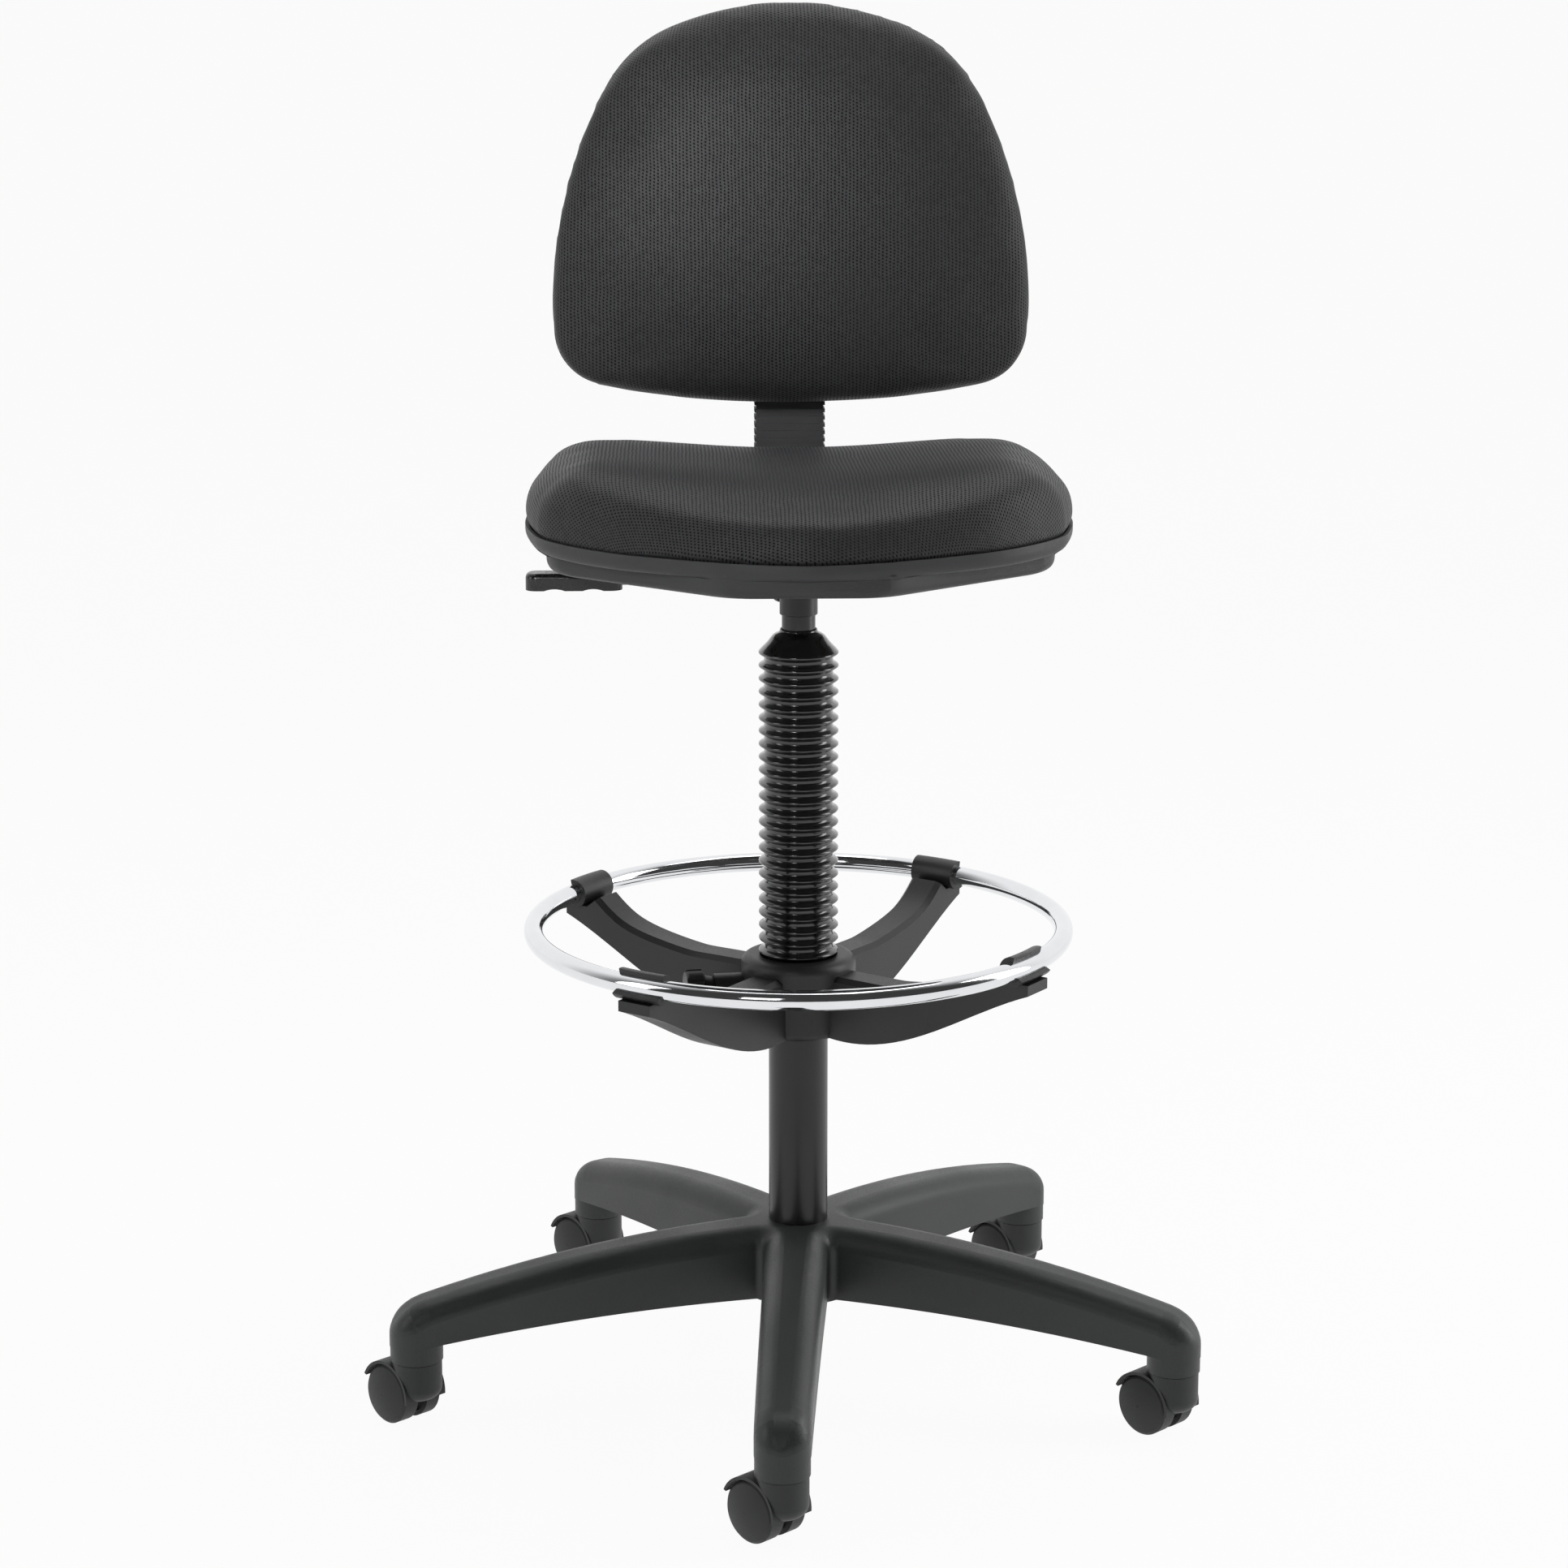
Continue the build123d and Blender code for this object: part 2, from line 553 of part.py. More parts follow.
def gas_cylinder():
    """Pressure tube with its gland, its taper and the bore of the release pin."""
    r = GAS_DIA / 2
    bore = GAS_BORE / 2
    gland = ROD_DIA / 2 + RUN
    pin = VALVE_PIN_DIA / 2 + RUN
    top_r = GAS_TAPER_TOP_DIA / 2
    inside_top = GAS_TOP_Z - VALVE_PIN_LENGTH
    gland_top = GAS_BOTTOM_Z + GAS_GLAND
    return turned(
        [
            (gland, GAS_BOTTOM_Z), (r, GAS_BOTTOM_Z), (r, GAS_SHOULDER_Z), (top_r, GAS_TOP_Z),
            (pin, GAS_TOP_Z), (pin, inside_top), (bore, inside_top), (bore, gland_top), (gland, gland_top),
        ]
    )


def valve_pin():
    """Release pin that the lever presses."""
    r = VALVE_PIN_DIA / 2
    low = VALVE_TOP_Z - VALVE_PIN_LENGTH
    return turned([(0, low), (r, low), (r, VALVE_TOP_Z - 1), (r - 1, VALVE_TOP_Z), (0, VALVE_TOP_Z)])


def bellows():
    """Pleated boot from a cuff on the column to a neck on the gas cylinder."""
    cuff = BELLOWS_CUFF_DIA / 2
    tip = BELLOWS_DIA / 2
    valley = BELLOWS_VALLEY_DIA / 2
    bore = COLUMN_R + SLIP
    neck = GAS_DIA / 2 + SLIP
    neck_low = BELLOWS_TOP_Z - BELLOWS_NECK
    shoulder = neck_low - BELLOWS_DOME
    pitch = (shoulder - BELLOWS_FIRST_RIB_Z) / (BELLOWS_RIBS - 0.5)
    points = [(bore, BELLOWS_CUFF_Z), (cuff, BELLOWS_CUFF_Z), (cuff, BELLOWS_FIRST_RIB_Z - pitch / 2)]
    for index in range(BELLOWS_RIBS):
        z = BELLOWS_FIRST_RIB_Z + pitch * index
        points.append((tip, z))
        points.append((valley, z + pitch / 2))
    points.pop()
    points += [
        (neck + 5, neck_low - 3), (neck + BELLOWS_WALL, neck_low), (neck + BELLOWS_WALL, BELLOWS_TOP_Z),
        (neck, BELLOWS_TOP_Z), (neck, neck_low - 3), (bore, shoulder - pitch),
    ]
    return turned(points)


# ---- foot ring ----
def foot_ring():
    """Closed tube ring."""
    section = Circle(RING_TUBE_DIA / 2) - Circle(RING_TUBE_DIA / 2 - 1.5)
    return revolve(Plane.XZ * Pos(RING_R, RING_Z) * section, Axis.Z)


def spider_arm():
    """One arm along +X, sweeping up from the hub to its cradle under the ring."""
    root = SPIDER_HUB_DIA / 2 - 5
    end = RING_R + SPIDER_ARM_OVER
    tip_z = RING_Z - SPIDER_TIP_DROP
    cradle = RING_Z - RING_TUBE_DIA / 2 - 3
    shoulder = RING_R - CLIP_REACH
    shoulder_z = RING_Z - 2
    top_z = SPIDER_TOP_Z - SPIDER_ARM_DROP
    low_z = SPIDER_BOTTOM_Z + 2
    dip = SPIDER_ARM_DIP
    top = Spline(
        (shoulder, shoulder_z), (shoulder - dip, RING_Z - 0.8 * dip), (shoulder - 2 * dip, RING_Z - 1.15 * dip),
        (shoulder - 4 * dip, top_z + 0.5), (root, top_z), tangents=((-1, -0.85), (-1, 0)),
    )
    heel = (RING_R - SPIDER_HEEL, RING_Z - SPIDER_HEEL - 3.5)
    under = Spline((root, low_z), (SPIDER_FOOT_R, low_z + 3), heel, (end, tip_z))
    seat = Polyline((end, tip_z), (end, cradle), (RING_R - CLIP_REACH / 2, cradle), (shoulder, shoulder_z))
    outline = [top, Line(top @ 1, (root, low_z)), under, seat]
    arm = Pos(0, SPIDER_ARM_WIDTH / 2, 0) * extrude(Plane.XZ * make_face(outline), SPIDER_ARM_WIDTH)
    ridge = arm.edges().filter_by(GeomType.BSPLINE).sort_by(Axis.Z)[-2:]
    return chamfer(ridge, SPIDER_ARM_CHAMFER)


def spider_clip():
    """Clip that wraps the tube from below, inside and above, open outwards."""
    outer = RING_TUBE_DIA / 2 + CLIP_WALL
    far = RING_TUBE_DIA * 4
    mouth = make_face(Polyline((0, 0), (far, -0.6 * far), (far, far), (far / 5, far), close=True))
    wrap = Circle(outer) - mouth
    sweep = degrees(CLIP_LENGTH / RING_R)
    wrap = Plane.XZ * Pos(RING_R, RING_Z) * wrap
    return Rot(0, 0, -sweep / 2) * revolve(wrap, Axis.Z, revolution_arc=sweep)


def foot_ring_spider():
    """Hub, four arms and four ring clips in one moulding."""
    cap_low = SPIDER_TOP_Z - SPIDER_CAP_HEIGHT
    hub = rod(SPIDER_HUB_DIA, SPIDER_BOTTOM_Z, cap_low + 1)
    hub = fillet(rims(hub, SPIDER_BOTTOM_Z), 6)
    cap = rod(SPIDER_CAP_DIA, cap_low, SPIDER_TOP_Z)
    cap = fillet(rims(cap, SPIDER_TOP_Z), 8)
    cap = fillet(rims(cap, cap_low), 4)
    spider = hub + cap
    for angle in SPIDER_ARM_ANGLES:
        spider += Rot(0, 0, angle) * (spider_arm() + spider_clip())
    groove = Plane.XZ * Pos(RING_R, RING_Z) * Circle(RING_TUBE_DIA / 2 + SLIP / 2)
    spider -= revolve(groove, Axis.Z)
    spider -= rod(COLUMN_DIA + 2 * (COLLET_WALL + RUN), SPIDER_BOTTOM_Z - 1, SPIDER_TOP_Z + 1)
    spider -= rod(SPIDER_RECESS_DIA, SPIDER_TOP_Z - SPIDER_RECESS_DEPTH, SPIDER_TOP_Z + 1)
    spider += knob_boss()
    return spider - knob_axis(RING_KNOB_ANGLE, RING_KNOB_Z) * rod(STUD_DIA + 2 * RUN, 0, RING_KNOB_R * 2)


def knob_axis(angle, height):
    """A frame whose Z runs radially outwards at a height."""
    return Rot(0, 0, angle) * Pos(0, 0, height) * Rot(0, 90, 0)


def knob_boss():
    """Boss on the hub that takes the clamp stud."""
    start = COLUMN_R + COLLET_WALL + 3
    length = RING_KNOB_R - SLIP - start
    return knob_axis(RING_KNOB_ANGLE, RING_KNOB_Z) * rod(RING_KNOB_BOSS_DIA, start, start + length)


def foot_ring_collet():
    """Split bush that the stud presses on the tube."""
    inner = COLUMN_DIA + 2 * RUN
    outer = inner + 2 * COLLET_WALL - 2 * RUN
    bush = tube(outer, inner, SPIDER_BOTTOM_Z, SPIDER_TOP_Z - SPIDER_RECESS_DEPTH - 1)
    slit = block(0, outer, -COLLET_SLIT / 2, COLLET_SLIT / 2, 0, SPIDER_TOP_Z)
    return bush - Rot(0, 0, RING_KNOB_ANGLE + 180) * slit


# ---- knobs: built along +Z with the inner face at Z = 0 ----
def fluted_knob(diameter, length):
    """Moulded knob with flutes round its rim and a rounded face."""
    r = diameter / 2
    waist = length * 0.3
    body = turned([(0, 0), (r * 0.6, 0), (r * 0.7, waist), (r, waist * 1.4), (r, length), (0, length)])
    body = fillet(rims(body, length), 3)
    flute = Pos(r + KNOB_FLUTE_DIA * 0.28, 0, 0) * rod(KNOB_FLUTE_DIA, waist, length + 1)
    for index in range(KNOB_FLUTES):
        body -= Rot(0, 0, 360.0 / KNOB_FLUTES * index) * flute
    return body - rod(STUD_DIA + 2 * RUN, -1, length * 0.6)


def stud(length, depth):
    """Stud that reaches back from a knob and is set into it by a depth."""
    return rod(STUD_DIA, -length, depth)


# ---- seat ----
def bowed_plan(inset):
    """Plan of the seat with bowed sides and four rounded corners."""
    widest = SEAT_WIDTH / 2 - inset
    half = widest - SEAT_SIDE_BOW
    front = SEAT_FRONT_Y + inset
    rear = SEAT_REAR_Y - inset
    low = front + SEAT_FRONT_BOW
    high = rear - SEAT_REAR_BOW
    mid = (front + rear) / 2
    plan = make_face(
        [
            ThreePointArc((-half, low), (0, front), (half, low)),
            ThreePointArc((half, low), (widest, mid), (half, high)),
            ThreePointArc((half, high), (0, rear), (-half, high)),
            ThreePointArc((-half, high), (-widest, mid), (-half, low)),
        ]
    )
    plan = fillet([v for v in plan.vertices() if v.Y < mid], SEAT_FRONT_CORNER_R - inset)
    square = [v for v in plan.vertices() if abs(v.Y - high) < LEVEL]
    return fillet(square, SEAT_REAR_CORNER_R - inset)


def tray_plan(inset):
    """Plan of the tray under the seat, a rectangle with cut-off corners, all rounded."""
    half = SEAT_WIDTH / 2 - TRAY_SIDE_INSET
    front = SEAT_FRONT_Y + TRAY_END_INSET
    rear = SEAT_REAR_Y - TRAY_END_INSET
    flat = half - TRAY_CUT_X
    low = front + TRAY_CUT_Y
    high = rear - TRAY_CUT_Y
    right = [(flat, front), (half, low), (half, high), (flat, rear)]
    left = [(-x, y) for x, y in reversed(right)]
    plan = offset(make_face(Polyline(*right, *left, close=True)), -inset, kind=Kind.INTERSECTION)
    return fillet(plan.vertices(), TRAY_CORNER_R - inset)


def seat_cushion():
    """Upholstered pad, dished on top and rounded down at the front and the rear."""
    body = Pos(0, 0, SEAT_SEAM_Z) * extrude(bowed_plan(0), SEAT_TOP_Z - SEAT_SEAM_Z)
    rear = SEAT_REAR_Y + 20
    front = SEAT_FRONT_Y - 10
    low = SEAT_SEAM_Z - 1
    top = Spline(
        (rear, SEAT_TOP_Z - SEAT_REAR_FALL), (SEAT_REAR_Y * 0.55, SEAT_TOP_Z - SEAT_REAR_FALL * 0.3),
        (0, SEAT_TOP_Z - SEAT_DISH), (SEAT_FRONT_Y * 0.5, SEAT_TOP_Z - 1),
        (SEAT_FRONT_Y * 0.8, SEAT_TOP_Z - SEAT_WATERFALL * 0.3), (front, SEAT_TOP_Z - SEAT_WATERFALL),
    )
    side = [top, Polyline(top @ 1, (front, low), (rear, low), top @ 0)]
    body = fillet(rims(body, SEAT_TOP_Z), SEAT_EDGE_R)
    body = fillet(rims(body, SEAT_SEAM_Z), SEAT_UNDER_R)
    body &= extrude(Plane.YZ * make_face(side), SEAT_WIDTH, both=True)
    inset = SEAT_SHELL_INSET + SHELL_WALL + BOARD_GAP
    foot = extrude(bowed_plan(inset), SEAT_SEAM_Z - BOARD_TOP_Z + SEAT_UNDER_R)
    return body + Pos(0, 0, BOARD_TOP_Z + SLIP) * foot


def seat_shell():
    """Plastic under-shell: a skirt round the pad, a tray below it, screw bosses and the opening."""
    rim_top = SEAT_SEAM_Z - SLIP
    skirt = Pos(0, 0, SKIRT_BOTTOM_Z) * extrude(bowed_plan(SEAT_SHELL_INSET), rim_top - SKIRT_BOTTOM_Z)
    skirt = fillet(rims(skirt, SKIRT_BOTTOM_Z), SKIRT_EDGE_R)
    tray = Pos(0, 0, SEAT_SHELL_BOTTOM_Z) * extrude(tray_plan(0), TRAY_DEPTH + SHELL_WALL)
    tray = fillet(rims(tray, SEAT_SHELL_BOTTOM_Z), TRAY_EDGE_R)
    skirt_room = extrude(bowed_plan(SEAT_SHELL_INSET + SHELL_WALL), SEAT_TOP_Z)
    skirt_room = fillet(rims(skirt_room, 0), SKIRT_EDGE_R - SHELL_WALL)
    tray_room = extrude(tray_plan(SHELL_WALL), SEAT_TOP_Z)
    tray_room = fillet(rims(tray_room, 0), TRAY_EDGE_R - SHELL_WALL)
    shell = skirt + tray
    shell -= Pos(0, 0, SKIRT_BOTTOM_Z + SHELL_WALL) * skirt_room
    shell -= Pos(0, 0, SEAT_SHELL_BOTTOM_Z + SHELL_WALL) * tray_room
    for place in shell_screw_places():
        shell += place * rod(SHELL_BOSS_DIA, SEAT_SHELL_BOTTOM_Z + 1, BOARD_BOTTOM_Z)
    for place in shell_screw_places():
        shell -= place * rod(SHELL_SCREW_DIA + 2 * RUN, 0, SEAT_TOP_Z)
    half = FLANGE_WIDTH / 2 + FLANGE_GAP
    return shell - block(-half, half, BOX_FRONT_Y - FLANGE_GAP, BOX_REAR_Y + FLANGE_GAP, 0, BOARD_BOTTOM_Z)


def shell_screw_places():
    """The four screw positions of the under-shell."""
    return [Pos(x, y, 0) for x in (-SHELL_SCREW_X, SHELL_SCREW_X) for y in (-SHELL_SCREW_Y, SHELL_SCREW_Y)]


def shell_screws():
    """Pan-head screws up through the shell into the board."""
    r = SHELL_SCREW_DIA / 2
    low = SEAT_SHELL_BOTTOM_Z
    tip = BOARD_BOTTOM_Z + BOARD_THICKNESS * 0.7
    screw = turned([(0, low - 2), (r + 1, low - 2), (r + 2, low), (r, low), (r, tip - r), (0, tip)])
    return Compound(children=[place * screw for place in shell_screw_places()])


def bolt_places():
    """The four bolt positions of the mechanism."""
    half = BOLT_SPACING_X / 2
    return [Pos(x, y, 0) for x in (-half, half) for y in (BOLT_FRONT_Y, BOLT_REAR_Y)]


def seat_board():
    """Plywood board drilled for the bolts and screws."""
    board = Pos(0, 0, BOARD_BOTTOM_Z) * extrude(tray_plan(SHELL_WALL + BOARD_GAP), BOARD_THICKNESS)
    for place in bolt_places():
        board -= place * rod(BOLT_DIA + 2 * RUN, 0, SEAT_TOP_Z)
    for place in shell_screw_places():
        board -= place * rod(SHELL_SCREW_DIA + 2 * RUN, 0, SEAT_TOP_Z)
    return board


def seat_bolts():
    """Hexagon bolts up through the flanges into the board."""
    head_top = BOARD_BOTTOM_Z - BOX_WALL
    bolt = hexagon(BOLT_HEX, head_top - BOLT_HEAD, head_top)
    bolt += rod(BOLT_DIA, head_top, BOARD_TOP_Z - 1)
    return Compound(children=[place * bolt for place in bolt_places()])


# ---- seat mechanism ----
def seat_mechanism():
    """Pressed box with side flanges, open to the rear for the back bar."""
    half = BOX_WIDTH / 2
    wing = FLANGE_WIDTH / 2
    top = BOARD_BOTTOM_Z
    low = BOX_BOTTOM_Z
    t = BOX_WALL
    section = [
        (-wing, top), (-wing, top - t), (-half, top - t), (-half, low), (half, low), (half, top - t),
        (wing, top - t), (wing, top), (half - t, top), (half - t, low + t), (-half + t, low + t),
        (-half + t, top),
    ]
    box = extrude(Plane.XZ * make_face(Polyline(*section, close=True)), -(BOX_REAR_Y - BOX_FRONT_Y))
    box = Pos(0, BOX_FRONT_Y, 0) * box
    box += block(-half, half, BOX_FRONT_Y, BOX_FRONT_Y + t, low, top)
    box -= rod(SOCKET_DIA + 2 * RUN, 0, BAR_MID_Z)
    box -= Pos(0, DEPTH_KNOB_Y) * rod(STUD_DIA + 2 * RUN, 0, BAR_MID_Z)
    slot_half = LEVER_ROD_DIA / 2 + 2
    box -= block(-half - 1, -half + t + 1, -slot_half, slot_half, LEVER_Z - LEVER_SLOT, top - t)
    for place in bolt_places():
        box -= place * rod(BOLT_DIA + 2 * RUN, top - t - 1, top + 1)
    ear = block(LEVER_PIVOT_X - 7, LEVER_PIVOT_X + 7, 0, t, low + t, LEVER_Z + 5)
    for side in (-1, 1):
        y = side * (slot_half + t / 2) - t / 2
        box += Pos(0, y, 0) * ear
    box -= pivot_axis() * Cylinder(LEVER_PIVOT_DIA / 2 + RUN, BOX_WIDTH / 2)
    nut = hexagon(WELD_NUT_HEX, low - WELD_NUT_HEIGHT, low) - rod(STUD_DIA + 2 * RUN, 0, top)
    return box + Pos(0, DEPTH_KNOB_Y) * nut


def taper_socket():
    """Socket whose bore matches the taper of the gas cylinder."""
    outer = SOCKET_DIA / 2
    top = SOCKET_BOTTOM_Z + SOCKET_HEIGHT
    wide = GAS_DIA / 2 + RUN
    narrow = GAS_TAPER_TOP_DIA / 2 + RUN
    slope = (wide - narrow) / GAS_TAPER_LENGTH
    at_top = wide - slope * (top - GAS_SHOULDER_Z)
    return turned(
        [
            (wide, SOCKET_BOTTOM_Z), (outer - 0.5, SOCKET_BOTTOM_Z), (outer, SOCKET_BOTTOM_Z + 0.5),
            (outer, top), (at_top, top), (wide, GAS_SHOULDER_Z),
        ]
    )


def bar_guide():
    """Strap welded in the box over the back bar."""
    half = BAR_WIDTH / 2 + SLIP
    wing = half + GUIDE_STRAP_WALL + 8
    low = BOX_BOTTOM_Z + BOX_WALL
    roof = BAR_BOTTOM_Z + BAR_THICKNESS + SLIP
    t = GUIDE_STRAP_WALL
    section = [
        (-wing, low), (-half, low), (-half, roof), (half, roof), (half, low), (wing, low),
        (wing, low + t), (half + t, low + t), (half + t, roof + t), (-half - t, roof + t),
        (-half - t, low + t), (-wing, low + t),
    ]
    strap = extrude(Plane.XZ * make_face(Polyline(*section, close=True)), -GUIDE_STRAP_LENGTH)
    return Pos(0, GUIDE_STRAP_Y, 0) * strap


def depth_knob():
    """Knob and stud that press on the back bar from below."""
    face = BOX_BOTTOM_Z - WELD_NUT_HEIGHT - 2
    reach = BAR_BOTTOM_Z - SLIP - face
    knob = fluted_knob(DEPTH_KNOB_DIA, DEPTH_KNOB_LENGTH)
    pin = stud(reach, DEPTH_KNOB_LENGTH * 0.6 - 1)
    place = Pos(0, DEPTH_KNOB_Y, face) * Rot(180, 0, 0)
    return Compound(children=[place * knob, place * pin])


# ---- height lever ----
def pivot_axis():
    """A frame on the axis of the lever's pivot, with its Z along the pin."""
    return Pos(LEVER_PIVOT_X, 0, LEVER_Z) * Rot(90, 0, 0)


def lever_pivot():
    """Pin through the two ears of the box."""
    length = LEVER_ROD_DIA + 4 + 2 * BOX_WALL + 2
    return pivot_axis() * Cylinder(LEVER_PIVOT_DIA / 2, length)


def lever_rod():
    """Rod over the release pin, bent down outside the box and out to the paddle."""
    low = LEVER_Z - LEVER_DROP
    path = FilletPolyline(
        (LEVER_INNER_X, 0, LEVER_Z), (LEVER_BEND_X, 0, LEVER_Z), (LEVER_DROP_X, 0, low),
        (PADDLE_OUTER_X + 20, 0, low), radius=LEVER_ROD_DIA * 1.5,
    )
    section = Plane(origin=path @ 0, z_dir=path % 0) * Circle(LEVER_ROD_DIA / 2)
    hub = pivot_axis() * Cylinder(LEVER_ROD_DIA / 2 + 1.5, LEVER_ROD_DIA + 1)
    bore = pivot_axis() * Cylinder(LEVER_PIVOT_DIA / 2 + RUN, LEVER_ROD_DIA * 2)
    return sweep(section, path) + hub - bore


def lever_paddle():
    """Moulded grip on the rod, scalloped under its fingers side."""
    low = LEVER_Z - LEVER_DROP
    half = PADDLE_THICKNESS / 2
    length = PADDLE_INNER_X - PADDLE_OUTER_X
    mid = (PADDLE_INNER_X + PADDLE_OUTER_X) / 2
    body = Pos(mid, 0, low) * Box(length, PADDLE_WIDTH, PADDLE_THICKNESS)
    body = fillet(body.edges().filter_by(Axis.Z), PADDLE_WIDTH / 2.6)
    body = fillet(body.edges().sort_by(Axis.Z)[-8:], 4)
    scallop_r = length * 0.3
    scallop = Rot(90, 0, 0) * Cylinder(scallop_r, PADDLE_WIDTH * 2)
    scallop = Pos(0, 0, low - half - scallop_r + PADDLE_SCALLOP) * scallop
    for shift in (-0.2, 0.2):
        body -= Pos(mid + length * shift, 0, 0) * scallop
    return body - Pos(mid + 20, 0, low) * Rot(0, 90, 0) * Cylinder(LEVER_ROD_DIA / 2 + RUN, length)


# ---- back bar ----
def bar_centre():
    """Centre line of the bar, from inside the box to its upper end."""
    corner = (0, BAR_UPRIGHT_Y, BAR_MID_Z)
    return FilletPolyline((0, BAR_INNER_Y, BAR_MID_Z), corner, (0, BAR_UPRIGHT_Y, BAR_TOP_Z), radius=BAR_BEND_R)


def back_bar():
    """Flat bar bent up behind the seat, with rounded corners at its top."""
    path = bar_centre()
    section = Plane(origin=path @ 0, x_dir=(1, 0, 0), z_dir=path % 0) * Rectangle(BAR_WIDTH, BAR_THICKNESS)
    bar = sweep(section, path)
    upper = [edge for edge in bar.edges().filter_by(Axis.Y) if edge.center().Z > BAR_TOP_Z - 1]
    return fillet(upper, BAR_WIDTH / 4)


def sleeve_section(grow):
    """Section of the boot about the bar, grown outwards by a step."""
    outer = Rectangle(SLEEVE_WIDTH + 2 * grow, SLEEVE_DEPTH + 2 * grow)
    return outer - Rectangle(BAR_WIDTH + 2 * SLEEVE_WALL_GAP, BAR_THICKNESS + 2 * SLEEVE_WALL_GAP)


def bar_sleeve():
    """Ribbed boot round the bend and the lower part of the upright."""
    centre_z = BAR_MID_Z + BAR_BEND_R
    foot = Plane(origin=(0, BAR_UPRIGHT_Y, centre_z), x_dir=(1, 0, 0), z_dir=(0, 0, 1))
    bend_axis = Axis((0, BAR_UPRIGHT_Y - BAR_BEND_R, centre_z), (1, 0, 0))
    straight = SLEEVE_TOP_Z - centre_z
    core = extrude(foot * sleeve_section(-SLEEVE_GROOVE), straight)
    core += revolve(foot * sleeve_section(-SLEEVE_GROOVE), bend_axis, revolution_arc=-90)
    rib = extrude(foot * sleeve_section(0), SLEEVE_PITCH / 2)
    turn = degrees(SLEEVE_PITCH / BAR_BEND_R)
    bent = revolve(foot * sleeve_section(0), bend_axis, revolution_arc=-turn / 2)
    ribs = [Pos(0, 0, SLEEVE_PITCH * (index + 0.25)) * rib for index in range(int(straight / SLEEVE_PITCH))]
    ribs += [bent.rotate(bend_axis, -turn * (index + 0.25)) for index in range(int(90 / turn))]
    return core + ribs


# ---- back ----
def back_outline(inset):
    """Outline of the back seen from the front, where four discs overlap, with rounded corners."""
    side_x = BACK_WIDTH / 2 - BACK_SIDE_R
    outline = Pos(0, BACK_TOP_Z - BACK_TOP_R) * Circle(BACK_TOP_R - inset)
    outline &= Pos(0, BACK_BOTTOM_Z + BACK_BOTTOM_R) * Circle(BACK_BOTTOM_R - inset)
    outline &= Pos(side_x, BACK_WIDEST_Z) * Circle(BACK_SIDE_R - inset)
    outline &= Pos(-side_x, BACK_WIDEST_Z) * Circle(BACK_SIDE_R - inset)
    outline = fillet([v for v in outline.vertices() if v.Y > BACK_WIDEST_Z], BACK_TOP_CORNER_R - inset)
    corners = [v for v in outline.vertices() if v.Y < BACK_WIDEST_Z and abs(v.X) > BACK_WIDTH / 4]
    return fillet(corners, BACK_BOTTOM_CORNER_R - inset)


def back_curve(depth):
    """Vertical curve of the back at a depth behind its front face, in (Y, Z)."""
    radius = BACK_CURVE_R - depth
    centre = (BACK_FRONT_Y + BACK_CURVE_R, BACK_WAIST_Z)
    low = 180 + degrees((BACK_WAIST_Z - BACK_BOTTOM_Z) / radius) + 3
    high = 180 - degrees((BACK_TOP_Z - BACK_WAIST_Z) / radius) - 3
    return CenterArc(centre, radius, low, high - low)


def back_layer(front, rear, inset):
    """A slice of the back between two depths behind its front face, within an inset outline."""
    prism = Pos(0, BAR_UPRIGHT_Y * 2, 0) * extrude(Plane.XZ * back_outline(inset), BAR_UPRIGHT_Y * 2)
    near = back_curve(front)
    far = back_curve(rear)
    edges = [near, Line(near @ 1, far @ 1), far, Line(far @ 0, near @ 0)]
    return prism & extrude(Plane.YZ * make_face(edges), BACK_WIDTH, both=True)


def back_cushion():
    """Upholstered pad of the back."""
    pad = back_layer(0, BACK_PAD, 0)
    front_face = pad.faces().sort_by(Axis.Y)[0]
    return fillet(front_face.edges(), BACK_EDGE_R)


def back_board():
    """Carrier board behind the pad, drilled for the bracket screws."""
    front = BACK_PAD + SLIP
    board = back_layer(front, front + BACK_BOARD, BACK_SHELL_INSET + SHELL_WALL + BOARD_GAP)
    for place in back_screw_places():
        board -= place * screw_hole()
    return board


def plate_y():
    """Front face of the bracket's plate, which the boss of the shell meets."""
    return BAR_UPRIGHT_Y - BAR_THICKNESS / 2 - SLIP - BRACKET_WALL


def back_shell():
    """Rear shell with a rim round the board and a boss that carries the bracket."""
    start = BACK_PAD + SLIP
    rear = start + BACK_BOARD + BACK_SHELL_DEPTH - SHELL_WALL
    shell = back_layer(start, rear, BACK_SHELL_INSET)
    shell -= back_layer(start - 1, rear - SHELL_WALL, BACK_SHELL_INSET + SHELL_WALL)
    half = BRACKET_WIDTH / 2
    front = BACK_FRONT_Y + BACK_PAD + SLIP + BACK_BOARD
    boss = block(-half, half, front, plate_y(), BRACKET_BOTTOM_Z, BRACKET_BOTTOM_Z + BRACKET_HEIGHT)
    boss -= back_layer(0, start + BACK_BOARD, 0)
    core_half = half - SHELL_WALL
    core_low = BRACKET_BOTTOM_Z + SHELL_WALL
    core_top = BRACKET_BOTTOM_Z + BRACKET_HEIGHT - SHELL_WALL
    core = block(-core_half, core_half, front - 10, plate_y() - SHELL_WALL, core_low, core_top)
    for place in back_screw_places():
        core -= place * Rot(90, 0, 0) * Cylinder(SHELL_BOSS_DIA / 2, BAR_UPRIGHT_Y)
    shell = shell + boss - core
    for place in back_screw_places():
        shell -= place * screw_hole()
    return shell


